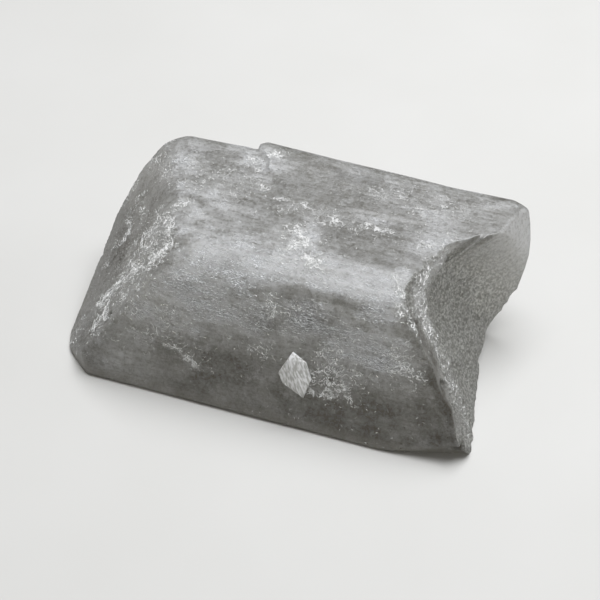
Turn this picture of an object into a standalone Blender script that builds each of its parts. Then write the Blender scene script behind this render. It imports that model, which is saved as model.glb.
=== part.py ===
"""A danburite crystal: a stout prism that lies on one of its faces.

X runs along the crystal, from its chisel-shaped end (-X) to its broken end (+X). Y runs from the
front to the back and Z up, with the base on Z = 0. The crystal grew as one piece, so it is one
solid: the prism, later growth on its top and back, ledges, and a small crystal on its front.

Sizes are in millimetres while the shape is made, and the finished mesh is scaled to metres.
"""
import math

import bmesh
import bpy
import numpy as np
from mathutils import Matrix, Vector, noise

MM = 0.001
MERGE = 0.012
CLEARANCE = 5.0
CUT_TOLERANCE = 0.0001
SEED = 11
NOISE_RUN_STEP = 7.31
NOISE_RUN_START = 0.37
NOISE_SEED_STEP = 1.7

# Cross-section: a leaning parallelogram with rounded edges.
HEIGHT = 22.3
WIDTH = 28.8
LEAN = 7.3
FRONT_FOOT_Y = 1.45
FOOT_FLARE = 0.020
RIDGE_DRIFT = 0.035
RIDGE_RADIUS = 4.6
BACK_EDGE_RADIUS = 1.2
FOOT_RADIUS = 0.8
RIDGE_ARC_STEPS = 4
EDGE_ARC_STEPS = 3
BASE_ARC_STEPS = 2

# Striations: long terraces along the crystal, and how often the section is repeated along X.
TERRACE_DEPTH = 0.24
TERRACE_RISER = 0.18
TERRACES_PER_SIDE = {"front": 9, "top": 9, "back": 7}
TERRACE_LEVEL = 0.5
TERRACE_SWING = 0.8
TERRACE_RUN = 14.0
TERRACE_UNEVENNESS = 0.30
WANDER = 0.16
WANDER_RUN = 9.0
SIDE_RUNS = 40
PRISM_RUN = 10
OVERGROWTH_RUN = 200
BLANK_START_X = -42.0
BLANK_END_X = 36.0
STATION_STEP = 2.6

# Chisel end: two dome faces, each a normal and a distance from the origin, and their worn edges.
CHISEL_UPPER = ((-0.733, -0.289, 0.615), 23.45)
CHISEL_LOWER = ((-0.733, 0.340, -0.589), 29.5)
CHISEL_LOW_CORNER = (-35.2, 9.0, -0.3)
CHISEL_SLOPE = 22.0
CHISEL_EDGE_WEAR = 0.25
SIDE_EDGE_WEAR = 0.30

# Facets that cut single corners, as a normal and a distance from the origin.
CORNER_FACETS = (
    ((-0.449, 0.230, 0.863), 38.80),
    ((-0.937, 0.102, 0.334), 38.95),
    ((-0.660, -0.740, 0.100), 18.0),
    ((0.235, -0.868, -0.440), 2.95),
    ((0.540, 0.120, 0.835), 37.8),
    ((0.822, -0.240, -0.517), 23.7),
)

# Broken end: how far it reaches along X at the section's four corners, and how it is hollowed.
REACH_RIDGE = 16.8
REACH_TOP_BACK = 29.3
REACH_BASE_BACK = 25.6
REACH_FOOT = 30.5
TOP_SWEEP = 1.8
FRONT_BOW = 1.0
BACK_BOW = 3.4
BASE_BOW = 0.2
HOLLOW_DEPTH = 3.6
GRAIN_DEPTH = 0.42
GRAIN_SPACING = 0.85
GRAIN_SIZE = 2.3
GRAIN_OCTAVES = 3
GRAIN_FALL = 0.8
GRAIN_GAP = 2.1

# The deeper pan in the broken end, by shares from front to back (p) and from base to top (q): its
# left edge, which leans back towards the top, its lower edge, and the step down into it.
PAN_EDGE = 0.33
PAN_EDGE_LEAN = 0.24
PAN_LEAN_FROM = 0.72
PAN_LEAN_TO = 0.95
PAN_EDGE_WIDTH = 0.04
PAN_FLOOR = 0.76
PAN_FLOOR_SLOPE = 0.67
PAN_FLOOR_WIDTH = 0.12
PAN_BACK_FROM = 0.74
PAN_DROP = 1.5

# The shoulder that the break left standing at the top of the back: its front edge at the top, how
# fast that edge draws back and softens below the top, and how its end draws in towards the front.
SHOULDER_EDGE = 0.575
SHOULDER_RETREAT = 0.80
SHOULDER_EDGE_WIDTH = 0.035
SHOULDER_FADE = 0.25
SHOULDER_TAPER = 6.5
SHOULDER_SMOOTHNESS = 0.8

# Later growth over the right of the top and back, thickest at its stepped left end.
OVERGROWTH_LEFT_X = -13.2
OVERGROWTH_END_X = 18.0
OVERGROWTH_TOP = 0.55
OVERGROWTH_BACK = 1.35
OVERGROWTH_START_X = -18.0
OVERGROWTH_INSET = (1.6, 2.6)
OVERGROWTH_RIDGE_INSET = 1.0
OVERGROWTH_RIM = ((4.5, 11.0), (2.2, 13.4), (1.2, 17.0), (-1.9, 18.2), (-2.4, 21.8), (-5.4, 24.0),
                  (-6.0, 28.4), (-9.6, 30.2), (-10.4, 33.6), (-13.2, 36.2), (-11.6, 42.0))

# Small crystal grown on the front face: its centre as (x, z), and its sizes.
BUD_CENTRE = (3.5, 8.6)
BUD_LENGTH = 7.3
BUD_WIDTH = 4.6
BUD_RISE = 1.1
BUD_TURN_DEG = -68.0
BUD_SHOULDER = 0.45
BUD_CREST = (-0.40, 0.30)
BUD_OUTLINE = ((-0.50, 0.14), (-0.23, 0.48), (0.14, 0.48), (0.50, 0.05), (0.11, -0.49),
               (-0.12, -0.52))

# Growth ledges: face, place along X, place across the face, length, width, rise.
PRISM_LEDGES = (
    ("ridge", 10.0, 0.50, 18.0, 3.4, 0.34),
    ("top", -18.5, 0.42, 15.0, 5.0, 0.30),
    ("top", 10.0, 0.66, 13.0, 3.6, 0.30),
    ("top", -6.0, 0.16, 12.0, 3.0, 0.28),
    ("front", -13.5, 0.64, 18.0, 4.4, 0.32),
    ("front", 15.0, 0.30, 15.0, 4.0, 0.32),
    ("front", -18.0, 0.20, 16.0, 3.0, 0.28),
    ("back", -14.0, 0.45, 17.0, 5.5, 0.35),
    ("back", 12.0, 0.24, 14.0, 4.0, 0.30),
)
CHISEL_LEDGES = (
    ("chisel", 12.0, 0.30, 12.0, 5.2, 0.34),
    ("chisel", 21.0, 0.62, 9.0, 4.0, 0.30),
    ("chisel", 9.0, 0.74, 8.0, 3.0, 0.26),
)
LEDGE_END_STEP = 0.14
LEDGE_ROWS = 4
LEDGE_ROW_STEP = 3.3
LEDGE_ROOT = 1.2
LEDGE_RIGHT_RUN = 400
LEDGE_LEFT_RUN = 500

# Chips knocked out of the edges: centre (x, y, z) and radius.
CHIPS = (
    ((-13.8, 37.9, 22.6), 1.5),
    ((-17.2, 9.4, 21.9), 0.9),
    ((-20.6, 19.0, 22.3), 0.8),
    ((16.6, 10.2, 21.9), 1.1),
    ((24.6, 7.2, 10.3), 1.0),
    ((28.4, 3.0, 2.6), 1.1),
    ((30.6, 35.8, 13.6), 1.0),
    ((27.0, 24.0, 0.3), 0.9),
    ((-35.2, 22.0, 6.4), 0.9),
    ((-5.0, 28.9, 0.2), 1.0),
    ((-26.2, 6.6, 9.4), 0.8),
    ((9.0, 0.9, 0.0), 0.7),
)
CHIP_ROUGHNESS = 0.30
CHIP_POINT_STEP = 2.7
CHIP_STRETCH = 1.5
CHIP_RUN = 600


def clear_scene():
    """Remove every object, so the script starts from an empty scene."""
    for item in list(bpy.data.objects):
        bpy.data.objects.remove(item, do_unlink=True)


def wave(along, channel, spacing):
    """Smooth noise between about -1 and 1 along X; each channel is its own run."""
    run = channel * NOISE_RUN_STEP + NOISE_RUN_START
    return noise.noise(Vector((along / spacing, run, SEED * NOISE_SEED_STEP)))


def smooth_step(low, high, value):
    """0 below low, 1 above high, and an even slope that starts and ends level between them."""
    share = min(max((value - low) / (high - low), 0.0), 1.0)
    return share * share * (3.0 - 2.0 * share)


def section_corners(along=0.0):
    """Foot, ridge, top-back and base-back corners of the section at one X, as (y, z)."""
    foot = Vector((FRONT_FOOT_Y - FOOT_FLARE * along, 0.0))
    ridge = Vector((FRONT_FOOT_Y + LEAN + RIDGE_DRIFT * along, HEIGHT))
    top_back = Vector((FRONT_FOOT_Y + LEAN + WIDTH, HEIGHT))
    base_back = Vector((FRONT_FOOT_Y + WIDTH, 0.0))
    return foot, ridge, top_back, base_back


def corner_arc(before, corner, after, radius, steps):
    """Points that round a corner with an arc tangent to both of its sides."""
    arrive = (corner - before).normalized()
    leave = (after - corner).normalized()
    turn = arrive.angle(leave)
    inward = Vector((arrive.y, -arrive.x))
    centre = corner - arrive * radius * math.tan(turn / 2) + inward * radius
    points = []
    for step in range(steps + 1):
        spoke = Matrix.Rotation(-turn * step / steps, 2) @ (-inward)
        points.append(centre + spoke * radius)
    return points


def terrace_depth(along, run):
    """How far one terrace lies below the face at one X."""
    return TERRACE_DEPTH * (TERRACE_LEVEL + TERRACE_SWING * wave(along, run, TERRACE_RUN))


def terraced_side(start, end, count, channel, along):
    """Points along one side of the section, stepped into terraces of uneven width and depth."""
    course = (end - start).normalized()
    inward = Vector((course.y, -course.x))
    riser = course * TERRACE_RISER / 2
    points = []
    for index in range(1, count):
        run = channel + index
        share = (index + TERRACE_UNEVENNESS * wave(0.0, run, 1.0)) / count
        drift = WANDER * wave(along, run + 0.5, WANDER_RUN)
        place = start + (end - start) * share + course * drift
        before = terrace_depth(along, run)
        beyond = terrace_depth(along, run + 1)
        points.append(place - riser + inward * before)
        points.append(place + riser + inward * beyond)
    return points


def section_outline(along, channel, corners):
    """The closed outline of the prism at one X: up the front, over the top and down the back."""
    foot, ridge, top_back, base_back = corners
    foot_arc = corner_arc(base_back, foot, ridge, FOOT_RADIUS, EDGE_ARC_STEPS)
    ridge_arc = corner_arc(foot, ridge, top_back, RIDGE_RADIUS, RIDGE_ARC_STEPS)
    back_arc = corner_arc(ridge, top_back, base_back, BACK_EDGE_RADIUS, EDGE_ARC_STEPS)
    base_arc = corner_arc(top_back, base_back, foot, FOOT_RADIUS, BASE_ARC_STEPS)
    ends = {"front": (foot_arc[-1], ridge_arc[0]), "top": (ridge_arc[-1], back_arc[0]),
            "back": (back_arc[-1], base_arc[0])}
    sides = {}
    for offset, side in enumerate(ends):
        count = TERRACES_PER_SIDE[side]
        sides[side] = terraced_side(*ends[side], count, channel + SIDE_RUNS * offset, along)
    return foot_arc + sides["front"] + ridge_arc + sides["top"] + back_arc + sides["back"] + base_arc


def loft(start, end, outline_at):
    """A closed solid lofted along X through outlines of equal point count."""
    shape = bmesh.new()
    rings = []
    for along in np.arange(start, end + STATION_STEP, STATION_STEP):
        outline = outline_at(float(along))
        rings.append([shape.verts.new((along, point.x, point.y)) for point in outline])
    for ring, following in zip(rings, rings[1:]):
        for index in range(len(ring)):
            ahead = (index + 1) % len(ring)
            shape.faces.new((ring[index], following[index], following[ahead], ring[ahead]))
    shape.faces.new(rings[0])
    shape.faces.new(list(reversed(rings[-1])))
    bmesh.ops.recalc_face_normals(shape, faces=shape.faces)
    return shape


def prism_outline(along):
    """The section of the main prism."""
    return section_outline(along, PRISM_RUN, section_corners(along))


def overgrowth_outline(along):
    """The section of the later growth: proud of the top and back, inside the front and the base."""
    foot, ridge, top_back, base_back = section_corners(along)
    thinning = (OVERGROWTH_END_X - along) / (OVERGROWTH_END_X - OVERGROWTH_LEFT_X)
    rise = Vector((0.0, OVERGROWTH_TOP * thinning))
    back = Vector((OVERGROWTH_BACK * thinning, 0.0))
    inset = Vector(OVERGROWTH_INSET)
    ridge_inset = Vector((OVERGROWTH_RIDGE_INSET, 0.0))
    corners = (foot + inset, ridge + rise + ridge_inset, top_back + rise + back,
               base_back + back + Vector((inset.y * LEAN / HEIGHT, inset.y)))
    return section_outline(along, OVERGROWTH_RUN, corners)


def slice_off(shape, normal, distance):
    """Cut away what lies beyond the plane normal . p = distance, and close the cut."""
    everything = list(shape.verts) + list(shape.edges) + list(shape.faces)
    result = bmesh.ops.bisect_plane(shape, geom=everything, dist=CUT_TOLERANCE,
                                    plane_co=normal * distance, plane_no=normal, clear_outer=True)
    rim = [item for item in result["geom_cut"] if isinstance(item, bmesh.types.BMEdge)]
    if rim:
        bmesh.ops.contextual_create(shape, geom=rim)


def plane_through(normal, point):
    """The plane with this normal through a point, as a unit normal and a distance."""
    outward = Vector(normal).normalized()
    return outward, outward.dot(Vector(point))


def prism_planes():
    """The ideal planes of the front, back and top faces, as unit normals and distances."""
    foot, ridge, top_back, base_back = section_corners()
    front = plane_through((0.0, -HEIGHT, LEAN), (0.0, foot.x, foot.y))
    back = plane_through((0.0, HEIGHT, -LEAN), (0.0, base_back.x, base_back.y))
    top = plane_through((0.0, 0.0, 1.0), (0.0, ridge.x, ridge.y))
    return {"front": front, "back": back, "top": top}


def wear_edge(shape, first, second, depth):
    """Slice a narrow facet along the edge where two faces meet."""
    total = first[0] + second[0]
    slice_off(shape, total.normalized(), (first[1] + second[1]) / total.length - depth)


def cut_chisel_end(shape):
    """The chisel end: two dome faces that meet in an edge, with their edges worn."""
    upper = (Vector(CHISEL_UPPER[0]).normalized(), CHISEL_UPPER[1])
    lower = (Vector(CHISEL_LOWER[0]).normalized(), CHISEL_LOWER[1])
    sides = prism_planes()
    slice_off(shape, *upper)
    slice_off(shape, *lower)
    wear_edge(shape, upper, lower, CHISEL_EDGE_WEAR)
    for side in ("top", "front", "back"):
        wear_edge(shape, upper, sides[side], SIDE_EDGE_WEAR)
    for side in ("front", "back"):
        wear_edge(shape, lower, sides[side], SIDE_EDGE_WEAR)


def cut_corner_facets(shape):
    """Small facets across single corners of the crystal."""
    for normal, distance in CORNER_FACETS:
        slice_off(shape, Vector(normal).normalized(), distance)


def reshape(target, *cuts):
    """Make plane cuts in an object's mesh."""
    shape = bmesh.new()
    shape.from_mesh(target.data)
    for cut in cuts:
        cut(shape)
        clean(shape)
    shape.to_mesh(target.data)
    shape.free()


def new_object(name, shape):
    """Wrap a bmesh in an object of the scene."""
    bmesh.ops.recalc_face_normals(shape, faces=shape.faces)
    mesh = bpy.data.meshes.new(name)
    shape.to_mesh(mesh)
    shape.free()
    item = bpy.data.objects.new(name, mesh)
    bpy.context.scene.collection.objects.link(item)
    return item


def clean(shape):
    """Merge corners that lie almost on each other, and drop slivers and faces folded flat."""
    bmesh.ops.remove_doubles(shape, verts=shape.verts, dist=MERGE)
    bmesh.ops.dissolve_degenerate(shape, edges=shape.edges, dist=MERGE)
    facing = {}
    for face in shape.faces:
        facing.setdefault(frozenset(face.verts), []).append(face)
    folded = [face for pair in facing.values() if len(pair) > 1 for face in pair]
    bmesh.ops.delete(shape, geom=folded, context="FACES")


def combine(target, operand, operation):
    """Add or subtract a closed shape, clean the result and drop the operand."""
    modifier = target.modifiers.new(operand.name, "BOOLEAN")
    modifier.solver = "EXACT"
    modifier.operation = operation
    modifier.object = operand
    evaluated = target.evaluated_get(bpy.context.evaluated_depsgraph_get())
    shape = bmesh.new()
    shape.from_mesh(evaluated.to_mesh())
    evaluated.to_mesh_clear()
    target.modifiers.clear()
    bpy.data.objects.remove(operand, do_unlink=True)
    clean(shape)
    shape.to_mesh(target.data)
    shape.free()


def pan_share(p, q):
    """1 inside the pan of the broken end and 0 outside it."""
    left = PAN_EDGE + PAN_EDGE_LEAN * smooth_step(PAN_LEAN_FROM, PAN_LEAN_TO, q)
    floor = PAN_FLOOR - PAN_FLOOR_SLOPE * p
    past_left = smooth_step(-PAN_EDGE_WIDTH, PAN_EDGE_WIDTH, p - left)
    before_back = 1.0 - smooth_step(PAN_BACK_FROM, 1.0, p)
    return past_left * before_back * smooth_step(-PAN_FLOOR_WIDTH, PAN_FLOOR_WIDTH, q - floor)


def shoulder_share(p, q):
    """1 on the shoulder of the broken end and 0 in front of it."""
    below = 1.0 - q
    edge = SHOULDER_EDGE + SHOULDER_RETREAT * below
    width = SHOULDER_EDGE_WIDTH + SHOULDER_FADE * below
    return smooth_step(edge - width, edge + width, p)


def broken_reach(front_to_back, base_to_top):
    """X of the broken end over the section; both arguments run from 0 to 1."""
    p = min(max(front_to_back, 0.0), 1.0)
    q = min(max(base_to_top, 0.0), 1.0)
    along_top = REACH_RIDGE + (REACH_TOP_BACK - REACH_RIDGE) * p ** TOP_SWEEP
    along_base = REACH_FOOT + (REACH_BASE_BACK - REACH_FOOT) * p + BASE_BOW * math.sin(math.pi * p)
    mid_height = math.sin(math.pi * q)
    bow = (FRONT_BOW * (1 - p) + BACK_BOW * p) * mid_height
    hollow = HOLLOW_DEPTH * math.sin(math.pi * p) * mid_height + PAN_DROP * pan_share(p, q)
    scooped = along_base + (along_top - along_base) * q + bow - hollow
    back_reach = REACH_BASE_BACK + (REACH_TOP_BACK - REACH_BASE_BACK) * q + BACK_BOW * mid_height
    standing = back_reach - SHOULDER_TAPER * (1.0 - p)
    return scooped + (standing - scooped) * shoulder_share(p, q)


def breakage_cutter():
    """A block whose left side is the rough, hollowed surface of the broken end."""
    shape = bmesh.new()
    foot, ridge, top_back, base_back = section_corners()
    breadth = top_back.x - foot.x + 2 * CLEARANCE
    rise = HEIGHT + 2 * CLEARANCE
    columns = int(breadth / GRAIN_SPACING)
    rows = int(rise / GRAIN_SPACING)
    sheet = []
    for row in range(rows + 1):
        z = -CLEARANCE + rise * row / rows
        line = []
        for column in range(columns + 1):
            y = foot.x - CLEARANCE + breadth * column / columns
            up = z / HEIGHT
            back = (y - foot.x - LEAN * up) / WIDTH
            place = Vector((y, z, SEED)) / GRAIN_SIZE
            depth = GRAIN_DEPTH * (1.0 - SHOULDER_SMOOTHNESS * shoulder_share(back, up))
            grain = noise.fractal(place, GRAIN_FALL, GRAIN_GAP, GRAIN_OCTAVES) * depth
            line.append(shape.verts.new((broken_reach(back, up) + grain, y, z)))
        sheet.append(line)
    faces = []
    for row in range(rows):
        for column in range(columns):
            faces.append(shape.faces.new((sheet[row][column], sheet[row][column + 1],
                                          sheet[row + 1][column + 1], sheet[row + 1][column])))
    extruded = bmesh.ops.extrude_face_region(shape, geom=faces)
    for item in extruded["geom"]:
        if isinstance(item, bmesh.types.BMVert):
            item.co.x = BLANK_END_X + CLEARANCE
    return new_object("breakage_cutter", shape)


def extrude_outline(shape, outline, sweep):
    """Add a closed prism: a flat outline of points, swept along a vector."""
    base = shape.faces.new([shape.verts.new(point) for point in outline])
    extruded = bmesh.ops.extrude_face_region(shape, geom=[base])
    lifted = [item for item in extruded["geom"] if isinstance(item, bmesh.types.BMVert)]
    bmesh.ops.translate(shape, vec=sweep, verts=lifted)


def overgrowth():
    """Later growth over the right of the top and back, with a stepped left end."""
    growth = new_object("overgrowth", loft(OVERGROWTH_START_X, BLANK_END_X, overgrowth_outline))
    shape = bmesh.new()
    start_x = OVERGROWTH_START_X - CLEARANCE
    low_y = OVERGROWTH_RIM[0][1] - WIDTH
    corners = ((start_x, OVERGROWTH_RIM[-1][1]), (start_x, low_y), (OVERGROWTH_RIM[0][0], low_y))
    outline = [Vector((x, y, -CLEARANCE)) for x, y in OVERGROWTH_RIM + corners]
    extrude_outline(shape, outline, Vector((0.0, 0.0, HEIGHT + 3 * CLEARANCE)))
    combine(growth, new_object("overgrowth_left_cutter", shape), "DIFFERENCE")
    return growth


def chisel_frame(along, across):
    """A point on the upper chisel face, with its edgewise, upslope and outward directions."""
    outward = Vector(CHISEL_UPPER[0]).normalized()
    edgewise = outward.cross(Vector(CHISEL_LOWER[0])).normalized()
    if edgewise.y < 0:
        edgewise.negate()
    upslope = outward.cross(edgewise)
    if upslope.z < 0:
        upslope.negate()
    point = Vector(CHISEL_LOW_CORNER) + edgewise * along + upslope * CHISEL_SLOPE * across
    point += outward * (CHISEL_UPPER[1] - outward.dot(point))
    return point, edgewise, upslope, outward


def face_frame(face, along, across):
    """A point on a face, with the face's lengthwise, crosswise and outward directions."""
    if face == "chisel":
        return chisel_frame(along, across)
    foot, ridge, top_back, base_back = section_corners(along)
    lengthwise = Vector((1.0, 0.0, 0.0))
    planes = prism_planes()
    if face == "ridge":
        outward = (planes["front"][0] + planes["top"][0]).normalized()
        worn = RIDGE_RADIUS * (1.0 / math.cos(planes["front"][0].angle(planes["top"][0]) / 2) - 1.0)
        point = Vector((along, ridge.x, ridge.y)) - outward * worn
        return point, lengthwise, outward.cross(lengthwise), outward
    ends = {"front": (foot, ridge), "top": (ridge, top_back), "back": (base_back, top_back)}
    low, high = ends[face]
    place = low + (high - low) * across
    outward = planes[face][0]
    return Vector((along, place.x, place.y)), lengthwise, outward.cross(lengthwise), outward


def ledge_half(row, run):
    """Half a ledge's length at one step of its end, as a share of the length."""
    return 0.5 + LEDGE_END_STEP * wave(row * LEDGE_ROW_STEP, run, 1.0)


def growth_ledges(ledges):
    """Thin plates of later growth, with stepped ends, sunk into the faces they lie on."""
    shape = bmesh.new()
    for channel, (face, along, across, length, width, rise) in enumerate(ledges):
        point, length_axis, width_axis, outward = face_frame(face, along, across)
        right_end, left_end = [], []
        for row in range(LEDGE_ROWS):
            for edge in (row, row + 1):
                crosswise = width * (edge / LEDGE_ROWS - 0.5)
                right = length * ledge_half(row, LEDGE_RIGHT_RUN + channel)
                left = -length * ledge_half(row, LEDGE_LEFT_RUN + channel)
                right_end.append(point + length_axis * right + width_axis * crosswise)
                left_end.append(point + length_axis * left + width_axis * crosswise)
        outline = [place + outward * rise for place in right_end + left_end[::-1]]
        extrude_outline(shape, outline, outward * -(rise + LEDGE_ROOT))
    return new_object("growth_ledges", shape)


def small_crystal():
    """A low kite-shaped crystal with a ridge along its length, half sunk in the front face."""
    centre_x, centre_z = BUD_CENTRE
    centre, along, up_face, outward = face_frame("front", centre_x, centre_z / HEIGHT)
    turn = math.radians(BUD_TURN_DEG)
    if up_face.z < 0:
        up_face.negate()
    length_axis = (along * math.cos(turn) + up_face * math.sin(turn)) * BUD_LENGTH
    width_axis = (up_face * math.cos(turn) - along * math.sin(turn)) * BUD_WIDTH
    shape = bmesh.new()
    for lengthwise, crosswise in BUD_OUTLINE:
        place = centre + length_axis * lengthwise + width_axis * crosswise
        shape.verts.new(place - outward * BUD_RISE)
        shape.verts.new(place + outward * BUD_RISE * BUD_SHOULDER)
    for lengthwise in BUD_CREST:
        shape.verts.new(centre + length_axis * lengthwise + outward * BUD_RISE)
    bmesh.ops.convex_hull(shape, input=shape.verts)
    return new_object("small_crystal", shape)


def chip_cutters():
    """Rough lumps that take the chips out of the edges."""
    shape = bmesh.new()
    for channel, (centre, radius) in enumerate(CHIPS):
        made = bmesh.ops.create_icosphere(shape, subdivisions=1, radius=radius)
        for index, vertex in enumerate(made["verts"]):
            swell = wave(index * CHIP_POINT_STEP, CHIP_RUN + channel, 1.0)
            vertex.co *= 1.0 + CHIP_ROUGHNESS * swell
            vertex.co.x *= CHIP_STRETCH
            vertex.co += Vector(centre)
    return new_object("chip_cutters", shape)


def danburite_material():
    """Clear, faintly grey danburite with a satin skin."""
    material = bpy.data.materials.new("danburite")
    material.use_nodes = True
    surface = material.node_tree.nodes["Principled BSDF"]
    surface.inputs["Base Color"].default_value = (0.42, 0.42, 0.40, 1.0)
    surface.inputs["Roughness"].default_value = 0.38
    surface.inputs["Metallic"].default_value = 0.0
    surface.inputs["IOR"].default_value = 1.633
    surface.inputs["Transmission Weight"].default_value = 0.6
    return material


def finish(crystal):
    """Set the crystal in metres, with the centre of its base box at the origin."""
    shape = bmesh.new()
    shape.from_mesh(crystal.data)
    bmesh.ops.triangulate(shape, faces=shape.faces)
    clean(shape)
    places = np.array([vertex.co for vertex in shape.verts])
    low, high = places.min(axis=0), places.max(axis=0)
    shift = Vector((-(low[0] + high[0]) / 2, -(low[1] + high[1]) / 2, -low[2]))
    bmesh.ops.translate(shape, vec=shift, verts=shape.verts)
    bmesh.ops.scale(shape, vec=(MM, MM, MM), verts=shape.verts)
    shape.to_mesh(crystal.data)
    shape.free()


def main():
    clear_scene()
    crystal = new_object("danburite_crystal", loft(BLANK_START_X, BLANK_END_X, prism_outline))
    crystal.data.materials.append(danburite_material())
    combine(crystal, overgrowth(), "UNION")
    combine(crystal, growth_ledges(PRISM_LEDGES), "UNION")
    reshape(crystal, cut_chisel_end, cut_corner_facets)
    combine(crystal, growth_ledges(CHISEL_LEDGES), "UNION")
    combine(crystal, small_crystal(), "UNION")
    combine(crystal, breakage_cutter(), "DIFFERENCE")
    combine(crystal, chip_cutters(), "DIFFERENCE")
    finish(crystal)


main()
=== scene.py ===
"""Danburite crystal: a stout, frosted grey prism with a chisel end and a broken end.

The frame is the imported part. One surface stands for its crystal, worked out as the zero level of a
field: the faces are planes, blended where their edges are worn, and a small relief is added along
the surface's normal. Lengths are in millimetres until a mesh is made, and in metres after that.

X runs along the crystal from the chisel end (-X) to the broken end (+X), Y from front to back.
"""
import math

import bmesh
import bpy
import numpy as np
from bpy.props import FloatProperty, FloatVectorProperty, IntProperty, PointerProperty
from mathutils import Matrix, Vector


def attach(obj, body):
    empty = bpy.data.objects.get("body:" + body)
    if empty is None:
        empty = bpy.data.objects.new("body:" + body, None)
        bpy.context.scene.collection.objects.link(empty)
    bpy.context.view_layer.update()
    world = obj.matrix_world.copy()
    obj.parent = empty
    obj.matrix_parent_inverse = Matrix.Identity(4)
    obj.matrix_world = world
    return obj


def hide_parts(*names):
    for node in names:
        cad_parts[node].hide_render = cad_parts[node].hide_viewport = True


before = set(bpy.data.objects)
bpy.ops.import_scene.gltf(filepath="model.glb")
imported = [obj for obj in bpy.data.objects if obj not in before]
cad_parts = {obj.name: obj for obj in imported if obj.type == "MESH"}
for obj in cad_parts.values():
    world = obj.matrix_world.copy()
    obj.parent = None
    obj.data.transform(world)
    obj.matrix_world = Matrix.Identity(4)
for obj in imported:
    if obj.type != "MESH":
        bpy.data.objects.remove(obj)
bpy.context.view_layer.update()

bl_info = {
    "name": "Danburite Crystal",
    "version": (1, 0, 0),
    "blender": (4, 5, 0),
    "location": "3D View > Sidebar > Danburite",
    "description": "A frosted danburite crystal on a pale studio floor",
    "category": "Add Mesh",
}

MM = 0.001
SEED = 11
FLOOR_GAP = 0.05
NODE = "danburite_crystal"
BODY = "root"

# From the millimetres that the shape is worked out in to the frame, whose origin is under the
# middle of the crystal.
SHAPE_TO_FRAME = np.array((2.255, -19.916, 0.0))

# Cross-section: a leaning parallelogram with rounded edges.
HEIGHT = 22.3
WIDTH = 28.8
LEAN = 7.3
FRONT_FOOT_Y = 1.45
FOOT_FLARE = 0.020
RIDGE_DRIFT = 0.035

# How widely two faces blend where their shared edge is worn.
RIDGE_BLEND = 5.5
BACK_EDGE_BLEND = 2.0
FOOT_BLEND = 1.0
CHISEL_BLEND = 2.6
CHISEL_LOW_BLEND = 0.7
CORNER_BLEND = 0.6
BREAK_BLEND = 0.35

# Chisel end and the facets across single corners: each a normal and a distance from the origin.
CHISEL_UPPER = ((-0.733, -0.289, 0.615), 23.45)
CHISEL_LOWER = ((-0.733, 0.340, -0.589), 29.5)
CHISEL_LOW_CORNER = (-35.2, 9.0, -0.3)
CHISEL_SLOPE = 22.0
CORNER_FACETS = (
    ((-0.449, 0.230, 0.863), 38.80),
    ((-0.937, 0.102, 0.334), 38.95),
    ((-0.660, -0.740, 0.100), 18.0),
    ((0.235, -0.868, -0.440), 2.95),
    ((0.540, 0.120, 0.835), 37.8),
    ((0.822, -0.240, -0.517), 23.7),
)

# Broken end: how far it reaches along X at the section's four corners, and how it is hollowed.
REACH_RIDGE = 16.8
REACH_TOP_BACK = 29.3
REACH_BASE_BACK = 25.6
REACH_FOOT = 30.5
TOP_SWEEP = 1.8
FRONT_BOW = 1.0
BACK_BOW = 3.4
BASE_BOW = 0.2
HOLLOW_DEPTH = 3.6

# The deeper pan in the broken end, by shares from front to back (p) and from base to top (q): its
# left edge, which leans back towards the top, its lower edge, and the step down into it.
PAN_EDGE = 0.33
PAN_EDGE_LEAN = 0.24
PAN_LEAN_FROM = 0.72
PAN_LEAN_TO = 0.95
PAN_EDGE_WIDTH = 0.13
PAN_FLOOR = 0.76
PAN_FLOOR_SLOPE = 0.67
PAN_FLOOR_WIDTH = 0.12
PAN_BACK_FROM = 0.74
PAN_DROP = 1.5

# Height of the broken end's coarse grain and of the jags along its front, and how far from the
# break its own skin fades into the rest.
BREAK_GRAIN = 0.26
JAGGED_FRONT = 0.7
BREAK_SKIN = (-0.55, -0.05)

# The shoulder that the break left standing at the top of the back: its front edge at the top, how
# fast that edge draws back and softens below the top, and how its end draws in towards the front.
SHOULDER_EDGE = 0.575
SHOULDER_RETREAT = 0.80
SHOULDER_EDGE_WIDTH = 0.10
SHOULDER_FADE = 0.25
SHOULDER_TAPER = 6.5

# Bands across the broken end, as paths of (x, y, z) with a width: the veined lip round the pan, whose
# lightness is partly painted light on the pan's shaded wall; the smooth cleft below it, painted dark
# as shade; and the light granular seam beyond that.
LIP_AND_LIGHT = (((22.6, 25.6, 21.4), (20.3, 22.3, 20.9), (18.9, 17.9, 20.9), (18.6, 15.0, 20.4),
        (18.9, 12.5, 19.1), (20.2, 12.6, 15.5)), 1.8)
CLEFT = (((19.9, 9.8, 18.0), (21.0, 8.8, 16.0), (22.3, 8.2, 13.9), (23.7, 6.6, 12.0),
          (25.3, 5.2, 9.8), (26.8, 4.2, 7.2)), 1.9)
SEAM = (((21.8, 13.0, 12.5), (23.7, 11.9, 9.5), (25.1, 10.9, 6.8), (27.2, 9.5, 3.5),
         (28.4, 7.5, 2.0)), 2.8)

# Later growth over the right of the top and back: its stepped left end, as (x, y) places.
OVERGROWTH_LEFT_X = -13.2
OVERGROWTH_END_X = 18.0
OVERGROWTH_TOP = 0.55
OVERGROWTH_BACK = 1.35
OVERGROWTH_RIM = ((4.5, 11.0), (2.2, 13.4), (1.2, 17.0), (-1.9, 18.2), (-2.4, 21.8), (-5.4, 24.0),
                  (-6.0, 28.4), (-9.6, 30.2), (-10.4, 33.6), (-13.2, 36.2), (-11.6, 42.0))

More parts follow.
